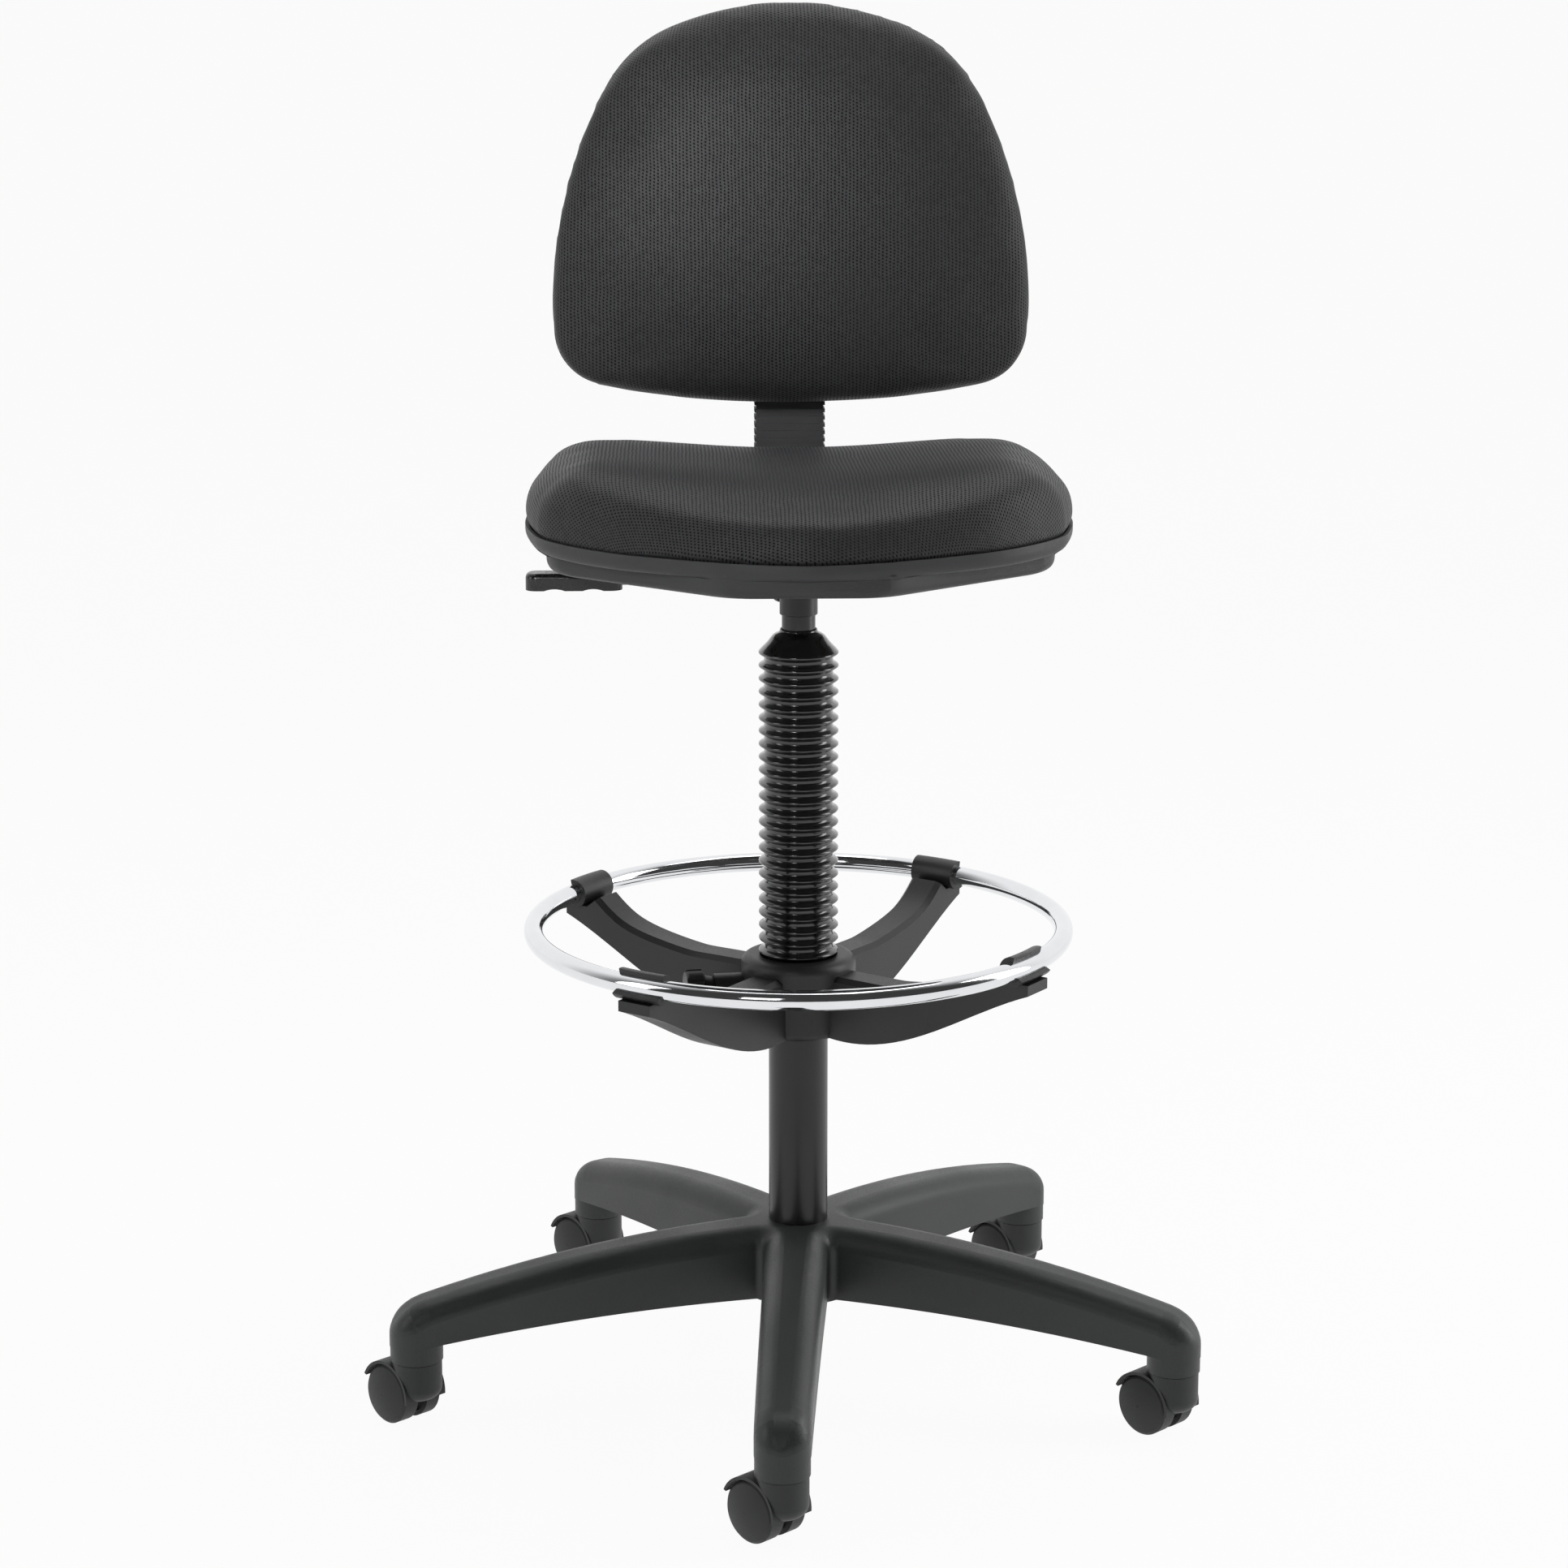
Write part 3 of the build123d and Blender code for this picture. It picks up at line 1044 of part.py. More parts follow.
def back_screw_places():
    """The four screws of the bracket."""
    xs = (-BACK_SCREW_X, BACK_SCREW_X)
    dzs = (-BACK_SCREW_DZ, BACK_SCREW_DZ)
    return [Pos(x, BAR_UPRIGHT_Y, BRACKET_MID_Z + dz) for x in xs for dz in dzs]


def screw_hole():
    """Clearance hole of a bracket screw, along Y through all that it holds."""
    return Rot(90, 0, 0) * Cylinder(SHELL_SCREW_DIA / 2 + RUN, BAR_UPRIGHT_Y)


def back_bracket():
    """Plate with a tunnel for the bar and a nut for the clamp stud."""
    half = BRACKET_WIDTH / 2
    channel = BAR_WIDTH / 2 + SLIP
    t = BRACKET_WALL
    front = plate_y()
    rear = BAR_UPRIGHT_Y + BAR_THICKNESS / 2 + SLIP
    low = BRACKET_BOTTOM_Z
    top = BRACKET_BOTTOM_Z + BRACKET_HEIGHT
    bracket = block(-half, half, front, front + t, low, top)
    bracket += block(-channel - t, channel + t, front, rear + t, low, top)
    bracket -= block(-channel, channel, front + t, rear, low - 1, top + 1)
    spot = Pos(0, rear, BRACKET_MID_Z) * Rot(-90, 0, 0)
    bracket += spot * hexagon(WELD_NUT_HEX, t, t + WELD_NUT_HEIGHT)
    bracket -= spot * rod(STUD_DIA + 2 * RUN, -1, t + WELD_NUT_HEIGHT + 1)
    for place in back_screw_places():
        bracket -= place * screw_hole()
    return bracket


def back_screws():
    """Pan-head screws through the plate and the boss into the board."""
    r = SHELL_SCREW_DIA / 2
    head = plate_y() + BRACKET_WALL
    length = head - (BACK_FRONT_Y + BACK_PAD + SLIP + BACK_BOARD * 0.4)
    profile = [(0, 2), (r + 1, 2), (r + 2, 0), (r, 0), (r, r - length), (0, -length)]
    screw = Pos(0, head - BAR_UPRIGHT_Y, 0) * Rot(-90, 0, 0) * turned(profile)
    return Compound(children=[place * screw for place in back_screw_places()])


def height_knob():
    """Knob and stud that clamp the bracket on the bar."""
    rear = BAR_UPRIGHT_Y + BAR_THICKNESS / 2
    face = rear + SLIP + BRACKET_WALL + WELD_NUT_HEIGHT + 2
    place = Pos(0, face, BRACKET_MID_Z) * Rot(-90, 0, 0)
    knob = fluted_knob(HEIGHT_KNOB_DIA, HEIGHT_KNOB_LENGTH)
    pin = stud(face - rear - SLIP, HEIGHT_KNOB_LENGTH * 0.6 - 1)
    return Compound(children=[place * knob, place * pin])


def foot_ring_knob():
    """Clamp knob of the foot ring."""
    place = knob_axis(RING_KNOB_ANGLE, RING_KNOB_Z) * Pos(0, 0, RING_KNOB_R)
    return place * fluted_knob(RING_KNOB_DIA, RING_KNOB_LENGTH)


def foot_ring_stud():
    """Threaded stud from the clamp knob to the collet."""
    place = knob_axis(RING_KNOB_ANGLE, RING_KNOB_Z) * Pos(0, 0, RING_KNOB_R)
    reach = RING_KNOB_R - (COLUMN_R + RUN + COLLET_WALL + SLIP)
    return place * stud(reach, RING_KNOB_LENGTH * 0.6 - 1)


PARTS = {
    "base_star": base_star,
    "column_tube": column_tube,
    "column_guide": column_guide,
    "column_bearing": column_bearing,
    "column_clip": column_clip,
    "piston_rod": piston_rod,
    "gas_cylinder": gas_cylinder,
    "valve_pin": valve_pin,
    "bellows": bellows,
    "foot_ring": foot_ring,
    "foot_ring_spider": foot_ring_spider,
    "foot_ring_collet": foot_ring_collet,
    "seat_cushion": seat_cushion,
    "seat_shell": seat_shell,
    "shell_screws": shell_screws,
    "seat_board": seat_board,
    "seat_bolts": seat_bolts,
    "seat_mechanism": seat_mechanism,
    "taper_socket": taper_socket,
    "bar_guide": bar_guide,
    "depth_knob": depth_knob,
    "lever_pivot": lever_pivot,
    "lever_rod": lever_rod,
    "lever_paddle": lever_paddle,
    "back_bar": back_bar,
    "bar_sleeve": bar_sleeve,
    "back_cushion": back_cushion,
    "back_board": back_board,
    "back_shell": back_shell,
    "back_bracket": back_bracket,
    "back_screws": back_screws,
    "height_knob": height_knob,
    "foot_ring_knob": foot_ring_knob,
    "foot_ring_stud": foot_ring_stud,
}


def write_parts():
    """Writes every sub-part, with five copies of the caster, to its own STEP file."""
    os.makedirs("parts", exist_ok=True)
    for name, make in PARTS.items():
        export_step(make(), f"parts/{name}.step")
    caster = {
        "hood": caster_hood(),
        "stem": caster_stem(),
        "axle": caster_axle(),
        "wheel_left": caster_wheel(1),
        "wheel_right": caster_wheel(-1),
    }
    for number, place in enumerate(caster_places(), start=1):
        for name, piece in caster.items():
            export_step(place * piece, f"parts/caster_{number}_{name}.step")


if __name__ == "__main__":
    write_parts()
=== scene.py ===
import json
import math

import bmesh
import bpy
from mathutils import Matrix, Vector


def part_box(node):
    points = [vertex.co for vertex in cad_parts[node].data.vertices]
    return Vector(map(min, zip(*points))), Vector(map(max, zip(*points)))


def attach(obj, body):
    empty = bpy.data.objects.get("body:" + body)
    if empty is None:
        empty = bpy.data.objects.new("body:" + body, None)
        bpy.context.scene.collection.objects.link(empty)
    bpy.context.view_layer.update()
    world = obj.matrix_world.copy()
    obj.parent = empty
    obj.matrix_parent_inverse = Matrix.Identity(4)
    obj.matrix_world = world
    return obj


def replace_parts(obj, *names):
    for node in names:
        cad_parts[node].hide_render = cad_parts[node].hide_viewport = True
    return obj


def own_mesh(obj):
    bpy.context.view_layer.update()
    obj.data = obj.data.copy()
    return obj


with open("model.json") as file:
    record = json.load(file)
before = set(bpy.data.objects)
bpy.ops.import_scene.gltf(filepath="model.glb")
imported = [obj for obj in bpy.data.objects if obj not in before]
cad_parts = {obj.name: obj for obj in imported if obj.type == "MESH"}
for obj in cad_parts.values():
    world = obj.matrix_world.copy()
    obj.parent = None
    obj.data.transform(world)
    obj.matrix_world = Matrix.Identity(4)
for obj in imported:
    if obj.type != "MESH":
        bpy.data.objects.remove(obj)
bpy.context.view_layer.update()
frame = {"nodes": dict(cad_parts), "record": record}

# A drafting chair at its highest setting. Metres, +Z up, the sitter faces -Y.


# ---------------------------------------------------------------- finishes
def add_node(tree, kind, inputs=None, **settings):
    """Adds a shader node; inputs are values, or sockets to link, by name or number."""
    node = tree.nodes.new("ShaderNode" + kind)
    for key, value in settings.items():
        setattr(node, key, value)
    for key, value in (inputs or {}).items():
        if isinstance(value, bpy.types.NodeSocket):
            tree.links.new(value, node.inputs[key])
        else:
            node.inputs[key].default_value = value
    return node


def calc(tree, operation, *values):
    """A maths node's result."""
    inputs = dict(enumerate(values))
    return add_node(tree, "Math", inputs, operation=operation).outputs[0]


def noise(tree, place, size, detail=2.0, rough=0.5):
    """Noise whose features are about one size across, in metres."""
    inputs = {"Vector": place, "Scale": 1 / size, "Detail": detail, "Roughness": rough}
    return add_node(tree, "TexNoise", inputs).outputs["Fac"]


def spread(tree, value, low, high, start=0.3, end=0.7, smooth=False):
    """Maps a range of a value to another range."""
    inputs = {"Value": value, "From Min": start, "From Max": end, "To Min": low, "To Max": high}
    kind = "SMOOTHSTEP" if smooth else "LINEAR"
    return add_node(tree, "MapRange", inputs, interpolation_type=kind).outputs["Result"]


def tint(tree, colour, factor):
    """A colour made lighter or darker by a factor."""
    node = add_node(tree, "VectorMath", {0: colour}, operation="SCALE")
    tree.links.new(factor, node.inputs["Scale"])
    return node.outputs[0]


def new_finish(name, roughness=0.5, metallic=0.0, **more):
    """A material with one Principled shader; returns it with its tree and shader."""
    material = bpy.data.materials.new(name)
    material.use_nodes = True
    tree = material.node_tree
    shader = tree.nodes["Principled BSDF"]
    shader.inputs["Roughness"].default_value = roughness
    shader.inputs["Metallic"].default_value = metallic
    for key, value in more.items():
        shader.inputs[key.replace("_", " ")].default_value = value
    return material, tree, shader


def object_place(tree):
    """Object coordinates."""
    return add_node(tree, "TexCoord").outputs["Object"]


def raise_bumps(tree, shader, height, depth):
    """Bumps of a depth in metres."""
    inputs = {"Strength": 1.0, "Distance": depth, "Height": height}
    tree.links.new(add_node(tree, "Bump", inputs).outputs[0], shader.inputs["Normal"])


MOTTLE = 0.10  # how much lighter or darker a moulding's colour gets
SPECK = 0.12  # how much its grain adds to that
GLOSS_DRIFT = 0.05  # how much its roughness wanders


def moulded_plastic(name, colour, roughness, grain, depth):
    """Moulding with a fine eroded grain and a faint unevenness of colour and gloss."""
    material, tree, shader = new_finish(name, roughness)
    place = object_place(tree)
    fine = noise(tree, place, grain, 3.0, 0.6)
    broad = noise(tree, place, 0.07, 2.0)
    speck = spread(tree, fine, -SPECK, SPECK)
    factor = calc(tree, "ADD", spread(tree, broad, 1 - MOTTLE, 1 + MOTTLE), speck)
    tree.links.new(tint(tree, colour, factor), shader.inputs["Base Color"])
    drift = spread(tree, broad, roughness - GLOSS_DRIFT, roughness + GLOSS_DRIFT)
    tree.links.new(calc(tree, "ADD", drift, speck), shader.inputs["Roughness"])
    raise_bumps(tree, shader, fine, depth)
    return material


PEEL = 0.004  # across one wave of a coating's orange peel
PEEL_DEPTH = 0.00004


def painted_steel(name, colour, roughness):
    """Smooth black coating with a faint orange peel."""
    material, tree, shader = new_finish(name, roughness)
    place = object_place(tree)
    wave = noise(tree, place, PEEL, 2.0)
    broad = noise(tree, place, 0.05, 3.0)
    tree.links.new(tint(tree, colour, spread(tree, broad, 0.85, 1.15)), shader.inputs["Base Color"])
    tree.links.new(spread(tree, broad, roughness - 0.04, roughness + 0.06), shader.inputs["Roughness"])
    raise_bumps(tree, shader, wave, PEEL_DEPTH)
    return material


def plated_metal(name, colour, roughness, brushed=0.0, blotch=0.06):
    """Metal with faint blotches, and turning marks round Z of the depth that brushed gives."""
    material, tree, shader = new_finish(name, roughness, 1.0)
    place = object_place(tree)
    broad = noise(tree, place, 0.02, 4.0)
    tree.links.new(tint(tree, colour, spread(tree, broad, 1 - blotch, 1.0)), shader.inputs["Base Color"])
    fine = noise(tree, place, 0.0015, 2.0)
    uneven = spread(tree, broad, roughness * 0.7, roughness * 1.3)
    rough = calc(tree, "ADD", uneven, spread(tree, fine, 0, 0.03))
    tree.links.new(rough, shader.inputs["Roughness"])
    if brushed:
        squeeze = add_node(tree, "Mapping", {"Vector": place, "Scale": (40.0, 40.0, 2500.0)})
        marks = add_node(tree, "TexNoise", {"Vector": squeeze.outputs[0], "Scale": 1.0, "Detail": 2.0})
        raise_bumps(tree, shader, marks.outputs["Fac"], brushed)
    return material


def birch_plywood(name):
    """Thin pale veneers stacked along Z, with grain along Y."""
    material, tree, shader = new_finish(name, 0.6)
    place = object_place(tree)
    along = add_node(tree, "Mapping", {"Vector": place, "Scale": (220.0, 12.0, 160.0)})
    grain = noise(tree, along.outputs[0], 1.0, 4.0)
    height = add_node(tree, "SeparateXYZ", {"Vector": place}).outputs["Z"]
    layer = calc(tree, "PINGPONG", calc(tree, "MULTIPLY", height, 700.0), 1.0)
    factor = calc(tree, "ADD", spread(tree, grain, 0.75, 1.1), spread(tree, layer, -0.12, 0.05))
    tree.links.new(tint(tree, (0.50, 0.34, 0.19), factor), shader.inputs["Base Color"])
    raise_bumps(tree, shader, grain, 0.0002)
    return material


WEAVE_ACROSS = 0.00315  # between two columns of holes
WEAVE_ALONG = 0.00283  # between two holes of a column
COLUMN_WANDER = 0.0005  # how far a column strays to each side
HOLE_SLANT = 0.35  # how much a hole leans across its stitch
HOLE_RIM = (0.14, 0.36)  # from the middle of a hole, darkened with painted shade, to its rim, as shares of a stitch
HOLE_PAINTED_SHADE = 0.05  # painted shade: brightness in a hole, as a share of the yarn's
YARN_SPREAD = 0.18  # how much one stitch is lighter or darker than the next


def knitted_fabric(name, colour):
    """Black spacer knit: upright ribs with a staggered small hole in every stitch, each hole darkened with
    painted shade.
    """
    material, tree, shader = new_finish(
        name, 0.5, Sheen_Weight=0.03, Sheen_Roughness=0.4, Specular_IOR_Level=0.28
    )
    shader.inputs["Sheen Tint"].default_value = (0.75, 0.78, 0.82, 1.0)
    cloth = add_node(tree, "Attribute", attribute_name="weave").outputs["Vector"]
    wander = noise(tree, cloth, 0.02, 2.0)
    shift = spread(tree, wander, -COLUMN_WANDER, COLUMN_WANDER)
    parts = add_node(tree, "SeparateXYZ", {"Vector": cloth})
    across = calc(tree, "DIVIDE", calc(tree, "ADD", parts.outputs["X"], shift), WEAVE_ACROSS)
    column = calc(tree, "FLOOR", across)
    drop = calc(tree, "MULTIPLY", column, 0.5)
    along = calc(tree, "ADD", calc(tree, "DIVIDE", parts.outputs["Y"], WEAVE_ALONG), drop)
    side = calc(tree, "SUBTRACT", calc(tree, "SUBTRACT", across, column), 0.5)
    rise = calc(tree, "SUBTRACT", calc(tree, "FRACT", along), 0.5)
    tilt = calc(tree, "ADD", rise, calc(tree, "MULTIPLY", side, HOLE_SLANT))
    wide = calc(tree, "POWER", side, 2.0)
    tall = calc(tree, "POWER", tilt, 2.0)
    away = calc(tree, "SQRT", calc(tree, "ADD", wide, calc(tree, "MULTIPLY", tall, 0.8)))
    stitch = spread(tree, away, 0.0, 1.0, *HOLE_RIM, smooth=True)
    fuzz = noise(tree, cloth, 0.0006, 3.0, 0.7)
    cell = add_node(tree, "CombineXYZ", {0: column, 1: calc(tree, "FLOOR", along)}).outputs[0]
    yarn = add_node(tree, "TexWhiteNoise", {"Vector": cell}, noise_dimensions="2D").outputs["Value"]
    lighter = spread(tree, yarn, 1 - YARN_SPREAD, 1 + YARN_SPREAD, 0, 1)
    bright = calc(tree, "ADD", lighter, spread(tree, fuzz, -0.2, 0.2))
    # the holes' darkness is painted shade; the random tone from stitch to stitch is the yarn's own
    tone_and_painted_hole_shade = calc(tree, "MULTIPLY", spread(tree, stitch, HOLE_PAINTED_SHADE, 1.0, 0, 1), bright)
    tree.links.new(tint(tree, colour, tone_and_painted_hole_shade), shader.inputs["Base Color"])
    tree.links.new(spread(tree, stitch, 0.95, 0.48, 0, 1), shader.inputs["Roughness"])
    height = calc(tree, "ADD", stitch, calc(tree, "MULTIPLY", fuzz, 0.25))
    raise_bumps(tree, shader, height, 0.0003)
    return material


def glossy_rubber(name, colour):
    """Moulded soft black vinyl with a wavy shine."""
    material, tree, shader = new_finish(name, 0.2, Coat_Weight=0.6, Coat_Roughness=0.06)
    place = object_place(tree)
    wavy = noise(tree, place, 0.009, 2.0)
    fine = noise(tree, place, 0.0012, 3.0)
    tree.links.new(tint(tree, colour, spread(tree, wavy, 0.8, 1.25)), shader.inputs["Base Color"])
    tree.links.new(spread(tree, fine, 0.14, 0.26), shader.inputs["Roughness"])
    raise_bumps(tree, shader, wavy, 0.00025)
    return material


FINISHES = {
    "base_nylon": moulded_plastic("base_nylon", (0.040, 0.043, 0.043), 0.46, 0.0011, 0.00009),
    "caster_nylon": moulded_plastic("caster_nylon", (0.034, 0.036, 0.036), 0.52, 0.0008, 0.00005),
    "wheel_nylon": moulded_plastic("wheel_nylon", (0.037, 0.038, 0.038), 0.58, 0.0008, 0.00004),
    "bright_steel": plated_metal("bright_steel", (0.62, 0.63, 0.65), 0.22, 0.00002),
    "column_black": painted_steel("column_black", (0.011, 0.011, 0.011), 0.30),
    "guide_plastic": moulded_plastic("guide_plastic", (0.02, 0.02, 0.02), 0.4, 0.001, 0.00003),
    "bellows_black": glossy_rubber("bellows_black", (0.008, 0.008, 0.008)),
    "ring_chrome": plated_metal("ring_chrome", (0.80, 0.81, 0.83), 0.05, blotch=0.04),
    "spider_plastic": moulded_plastic("spider_plastic", (0.021, 0.021, 0.022), 0.42, 0.001, 0.00004),
    "knob_plastic": moulded_plastic("knob_plastic", (0.018, 0.018, 0.018), 0.45, 0.0012, 0.00005),
    "steel_black": painted_steel("steel_black", (0.016, 0.016, 0.017), 0.38),
    "shell_plastic": moulded_plastic("shell_plastic", (0.034, 0.034, 0.036), 0.55, 0.0014, 0.00012),
    "fabric": knitted_fabric("fabric", (0.035, 0.035, 0.036)),
    "plywood": birch_plywood("plywood"),
    "zinc": plated_metal("zinc", (0.70, 0.70, 0.68), 0.30, blotch=0.15),
    "lever_plastic": moulded_plastic("lever_plastic", (0.016, 0.016, 0.016), 0.24, 0.0015, 0.00003),
}


def dress_frame():
    """Every node of the frame gets the finish of its slot in the record."""
    slots = {part["node"]: part["material_slot"] for part in frame["record"]["subparts"]}
    for name, piece in frame["nodes"].items():
        piece.data.materials.clear()
        piece.data.materials.append(FINISHES[slots[name]])


dress_frame()


# ---------------------------------------------------------------- pieces
SAME_POINT = 1e-6  # points nearer than this are one


def new_piece(name, bm, finish, body):
    """Makes a bmesh an object with a finish, riding on a body."""
    mesh = bpy.data.meshes.new(name)
    bm.to_mesh(mesh)
    bm.free()
    for polygon in mesh.polygons:
        polygon.use_smooth = True
    mesh.materials.append(FINISHES[finish])
    piece = bpy.data.objects.new(name, mesh)
    bpy.context.scene.collection.objects.link(piece)
    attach(piece, body)
    return piece


def settle_modifiers(piece):
    """Turns the modifiers of a piece into its mesh."""
    graph = bpy.context.evaluated_depsgraph_get()
    settled = bpy.data.meshes.new_from_object(piece.evaluated_get(graph))
    piece.modifiers.clear()
    piece.data = settled


def eased(value, low, high):
    """0 below low, 1 above high, and smooth between them."""
    share = min(1.0, max(0.0, (value - low) / (high - low)))
    return share * share * (3 - 2 * share)


PAD_VOXEL = 0.005  # side of the even mesh that a pad is made on
PAD_PRESSURE = 3.0  # of the foam against its cover
PAD_FRAMES = 20  # steps of the simulation
SMOOTHINGS_BEFORE = 8
SMOOTHINGS_AFTER = 12


def cushion_from(node, name, shape, held, cap):
    """A pad made from its solid: remeshed, drawn in by shape, and filled out again as cloth
    under pressure by no more than cap. Points for which held is true stay where shape puts them."""
    piece = bpy.data.objects.new(name, frame["nodes"][node].data.copy())
    bpy.context.scene.collection.objects.link(piece)
    remesh = piece.modifiers.new("voxels", "REMESH")
    remesh.mode = "VOXEL"
    remesh.voxel_size = PAD_VOXEL
    settle_modifiers(piece)
    firm = [held(v.co) for v in piece.data.vertices]
    for vertex in piece.data.vertices:
        vertex.co = shape(vertex.co)
    smooth_points(piece, firm, SMOOTHINGS_BEFORE)
    start = [v.co.copy() for v in piece.data.vertices]
    inflate(piece, firm)
    for vertex, before in zip(piece.data.vertices, start):
        move = vertex.co - before
        if move.length > cap:
            vertex.co = before + move * (cap / move.length)
    smooth_points(piece, firm, SMOOTHINGS_AFTER)
    rounder = piece.modifiers.new("rounder", "SUBSURF")
    rounder.levels = rounder.render_levels = 1
    settle_modifiers(piece)
    for polygon in piece.data.polygons:
        polygon.use_smooth = True
    piece.data.materials.clear()
    piece.data.materials.append(FINISHES["fabric"])
    return piece


def smooth_points(piece, firm, times):
    """Evens out the free points of a mesh a few times."""
    bm = bmesh.new()
    bm.from_mesh(piece.data)
    bm.verts.ensure_lookup_table()
    free = [v for v in bm.verts if not firm[v.index]]
    every_way = {"use_axis_x": True, "use_axis_y": True, "use_axis_z": True}
    for _ in range(times):
        bmesh.ops.smooth_vert(bm, verts=free, factor=0.5, **every_way)
    bm.to_mesh(piece.data)
    bm.free()


def inflate(piece, firm):
    """Cloth under pressure, held at its firm points."""
    held = piece.vertex_groups.new(name="held")
    held.add([index for index, fixed in enumerate(firm) if fixed], 1.0, "REPLACE")
    cloth = piece.modifiers.new("cloth", "CLOTH")
    settings = cloth.settings
    settings.quality = 5
    settings.mass = 0.3
    settings.tension_stiffness = 25
    settings.compression_stiffness = 25
    settings.shear_stiffness = 8
    settings.bending_stiffness = 1.5
    settings.use_pressure = True
    settings.uniform_pressure_force = PAD_PRESSURE
    settings.vertex_group_mass = "held"
    settings.effector_weights.gravity = 0
    cloth.collision_settings.use_collision = False
    cloth.point_cache.frame_start = 1
    cloth.point_cache.frame_end = PAD_FRAMES
    for number in range(1, PAD_FRAMES + 1):
        bpy.context.scene.frame_set(number)
    settle_modifiers(piece)
    bpy.context.scene.frame_set(1)


def lay_weave(piece, face, round_r):
    """Stores where each point lies on the flat cloth. face gives a point's place on the flat
    of the pad, how far it has dropped over the rounded edge, and which way is outward there."""
    mesh = piece.data
    place = mesh.attributes.new("weave", "FLOAT_VECTOR", "POINT")
    values = []
    for vertex in mesh.vertices:
        flat, drop, outward = face(vertex)
        drop = max(0.0, drop)
        if drop < round_r:
            turn = math.acos(1 - drop / round_r)
            extra = round_r * (turn - math.sin(turn))
        else:
            extra = round_r * (math.pi / 2 - 1) + drop - round_r
        if outward.length > SAME_POINT:
            flat = flat + outward.normalized() * extra
        values.extend((flat.x, flat.y, 0.0))
    place.data.foreach_set("vector", values)


# ---- seat pad and its under-shell ----
SEAT_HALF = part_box("seat_cushion")[1].x  # half the width of the seat
SADDLE = 0.006  # how much lower the middle of the seat lies than its sides
SADDLE_SIDES = (0.02, 0.72)  # where the dip starts to rise, and where it ends as a share of the half width
SADDLE_RISE = (0.025, 0.010)  # from above the seam to below the top, where the dip takes hold
SEAT_DRAWN = 0.004  # how far the sides draw in and the top comes down
SEAT_DRAWN_OVER = (0.002, 0.020)  # above the seam, where the sides draw in
SEAT_HELD = 0.003  # above the seam, where the cover is held
SEAT_SWELL = 0.003  # at most, when the cover fills out
SEAT_EDGE = 0.04  # radius by which the weave turns over the edge
FRONT_ROUNDING = 0.42  # how far the front corners draw back, as a share of their depth
FRONT_CURVE = 1.5  # power by which that grows outwards
SIDE_RISE = 0.004  # how much higher the seam lies at the sides


def rounded_front(co, share=1.0):
    """A point of the seat's plan, drawn back towards the front corners and raised at the sides."""
    out = min(1.0, abs(co.x) / SEAT_HALF)
    back = 1 - FRONT_ROUNDING * share * out**FRONT_CURVE if co.y < 0 else 1
    return Vector((co.x, co.y * back, co.z + SIDE_RISE * share * out**2))


def seat_pad():
    """Upholstered seat: raised at the sides, rolled down at the front, drawn in at its seam."""
    low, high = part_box("seat_cushion")
    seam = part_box("seat_shell")[1].z
    middle = (low + high) / 2
    half = (high.x - low.x) / 2

    def shape(co):
        rise = eased(co.z, seam + SEAT_DRAWN_OVER[0], seam + SEAT_DRAWN_OVER[1])
        inset = 1 - SEAT_DRAWN * rise / half
        across = 1 - eased(abs(co.x), SADDLE_SIDES[0], half * SADDLE_SIDES[1])
        dip = SADDLE * across * eased(co.z, seam + SADDLE_RISE[0], high.z - SADDLE_RISE[1])
        sink = dip + SEAT_DRAWN * rise
        drawn = Vector((co.x * inset, middle.y + (co.y - middle.y) * inset, co.z - sink))
        return rounded_front(drawn)

    def held(co):
        return co.z < seam + SEAT_HELD

    def over_edge(vertex):
        drop = high.z - SEAT_DRAWN - vertex.co.z
        outward = Vector(((vertex.co.x / half) ** 3, (vertex.co.y / half) ** 3))
        return Vector((vertex.co.x, vertex.co.y)), drop, outward

    pad = cushion_from("seat_cushion", "seat_pad", shape, held, SEAT_SWELL)
    lay_weave(pad, over_edge, SEAT_EDGE)
    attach(pad, "seat")
    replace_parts(pad, "seat_cushion")


TRAY_HALF = (0.207, 0.200)  # half size of the tray under the skirt
TRAY_CORNER = 0.1966  # from the middle out to the tray's cut-off corners
CORNER_SLANT = (0.631, 0.776)  # the way those corners face, across and along
TRAY_EDGE = (-0.004, 0.014)  # across the tray's edge, from where the shell stays to where it bends in full
STRIP = 0.010  # between two cuts that let the skirt bend
SHARP = math.radians(25)  # edges over this angle stay crisp


def seat_pan():
    """Under-shell of the seat, its skirt drawn back at the front corners with the pad."""
    low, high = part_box("seat_shell")
    bm = bmesh.new()
    bm.from_mesh(frame["nodes"]["seat_shell"].data)
    bmesh.ops.remove_doubles(bm, verts=bm.verts, dist=SAME_POINT)
    for axis in (0, 1):
        way = Vector()
        way[axis] = 1.0
        for step in range(1, int((high[axis] - low[axis]) / STRIP)):
            at = way * (low[axis] + STRIP * step)
            geometry = bm.verts[:] + bm.edges[:] + bm.faces[:]
            bmesh.ops.bisect_plane(bm, geom=geometry, dist=SAME_POINT, plane_co=at, plane_no=way)
    for vertex in bm.verts:
        x, y = abs(vertex.co.x), abs(vertex.co.y)
        slanted = x * CORNER_SLANT[0] + y * CORNER_SLANT[1] - TRAY_CORNER
        outside = max(x - TRAY_HALF[0], y - TRAY_HALF[1], slanted)
        vertex.co = rounded_front(vertex.co, eased(outside, *TRAY_EDGE))
    bmesh.ops.recalc_face_normals(bm, faces=bm.faces)
    for edge in bm.edges:
        edge.smooth = edge.is_manifold and edge.calc_face_angle(0) < SHARP
    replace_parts(new_piece("seat_pan", bm, "shell_plastic", "seat"), "seat_shell")


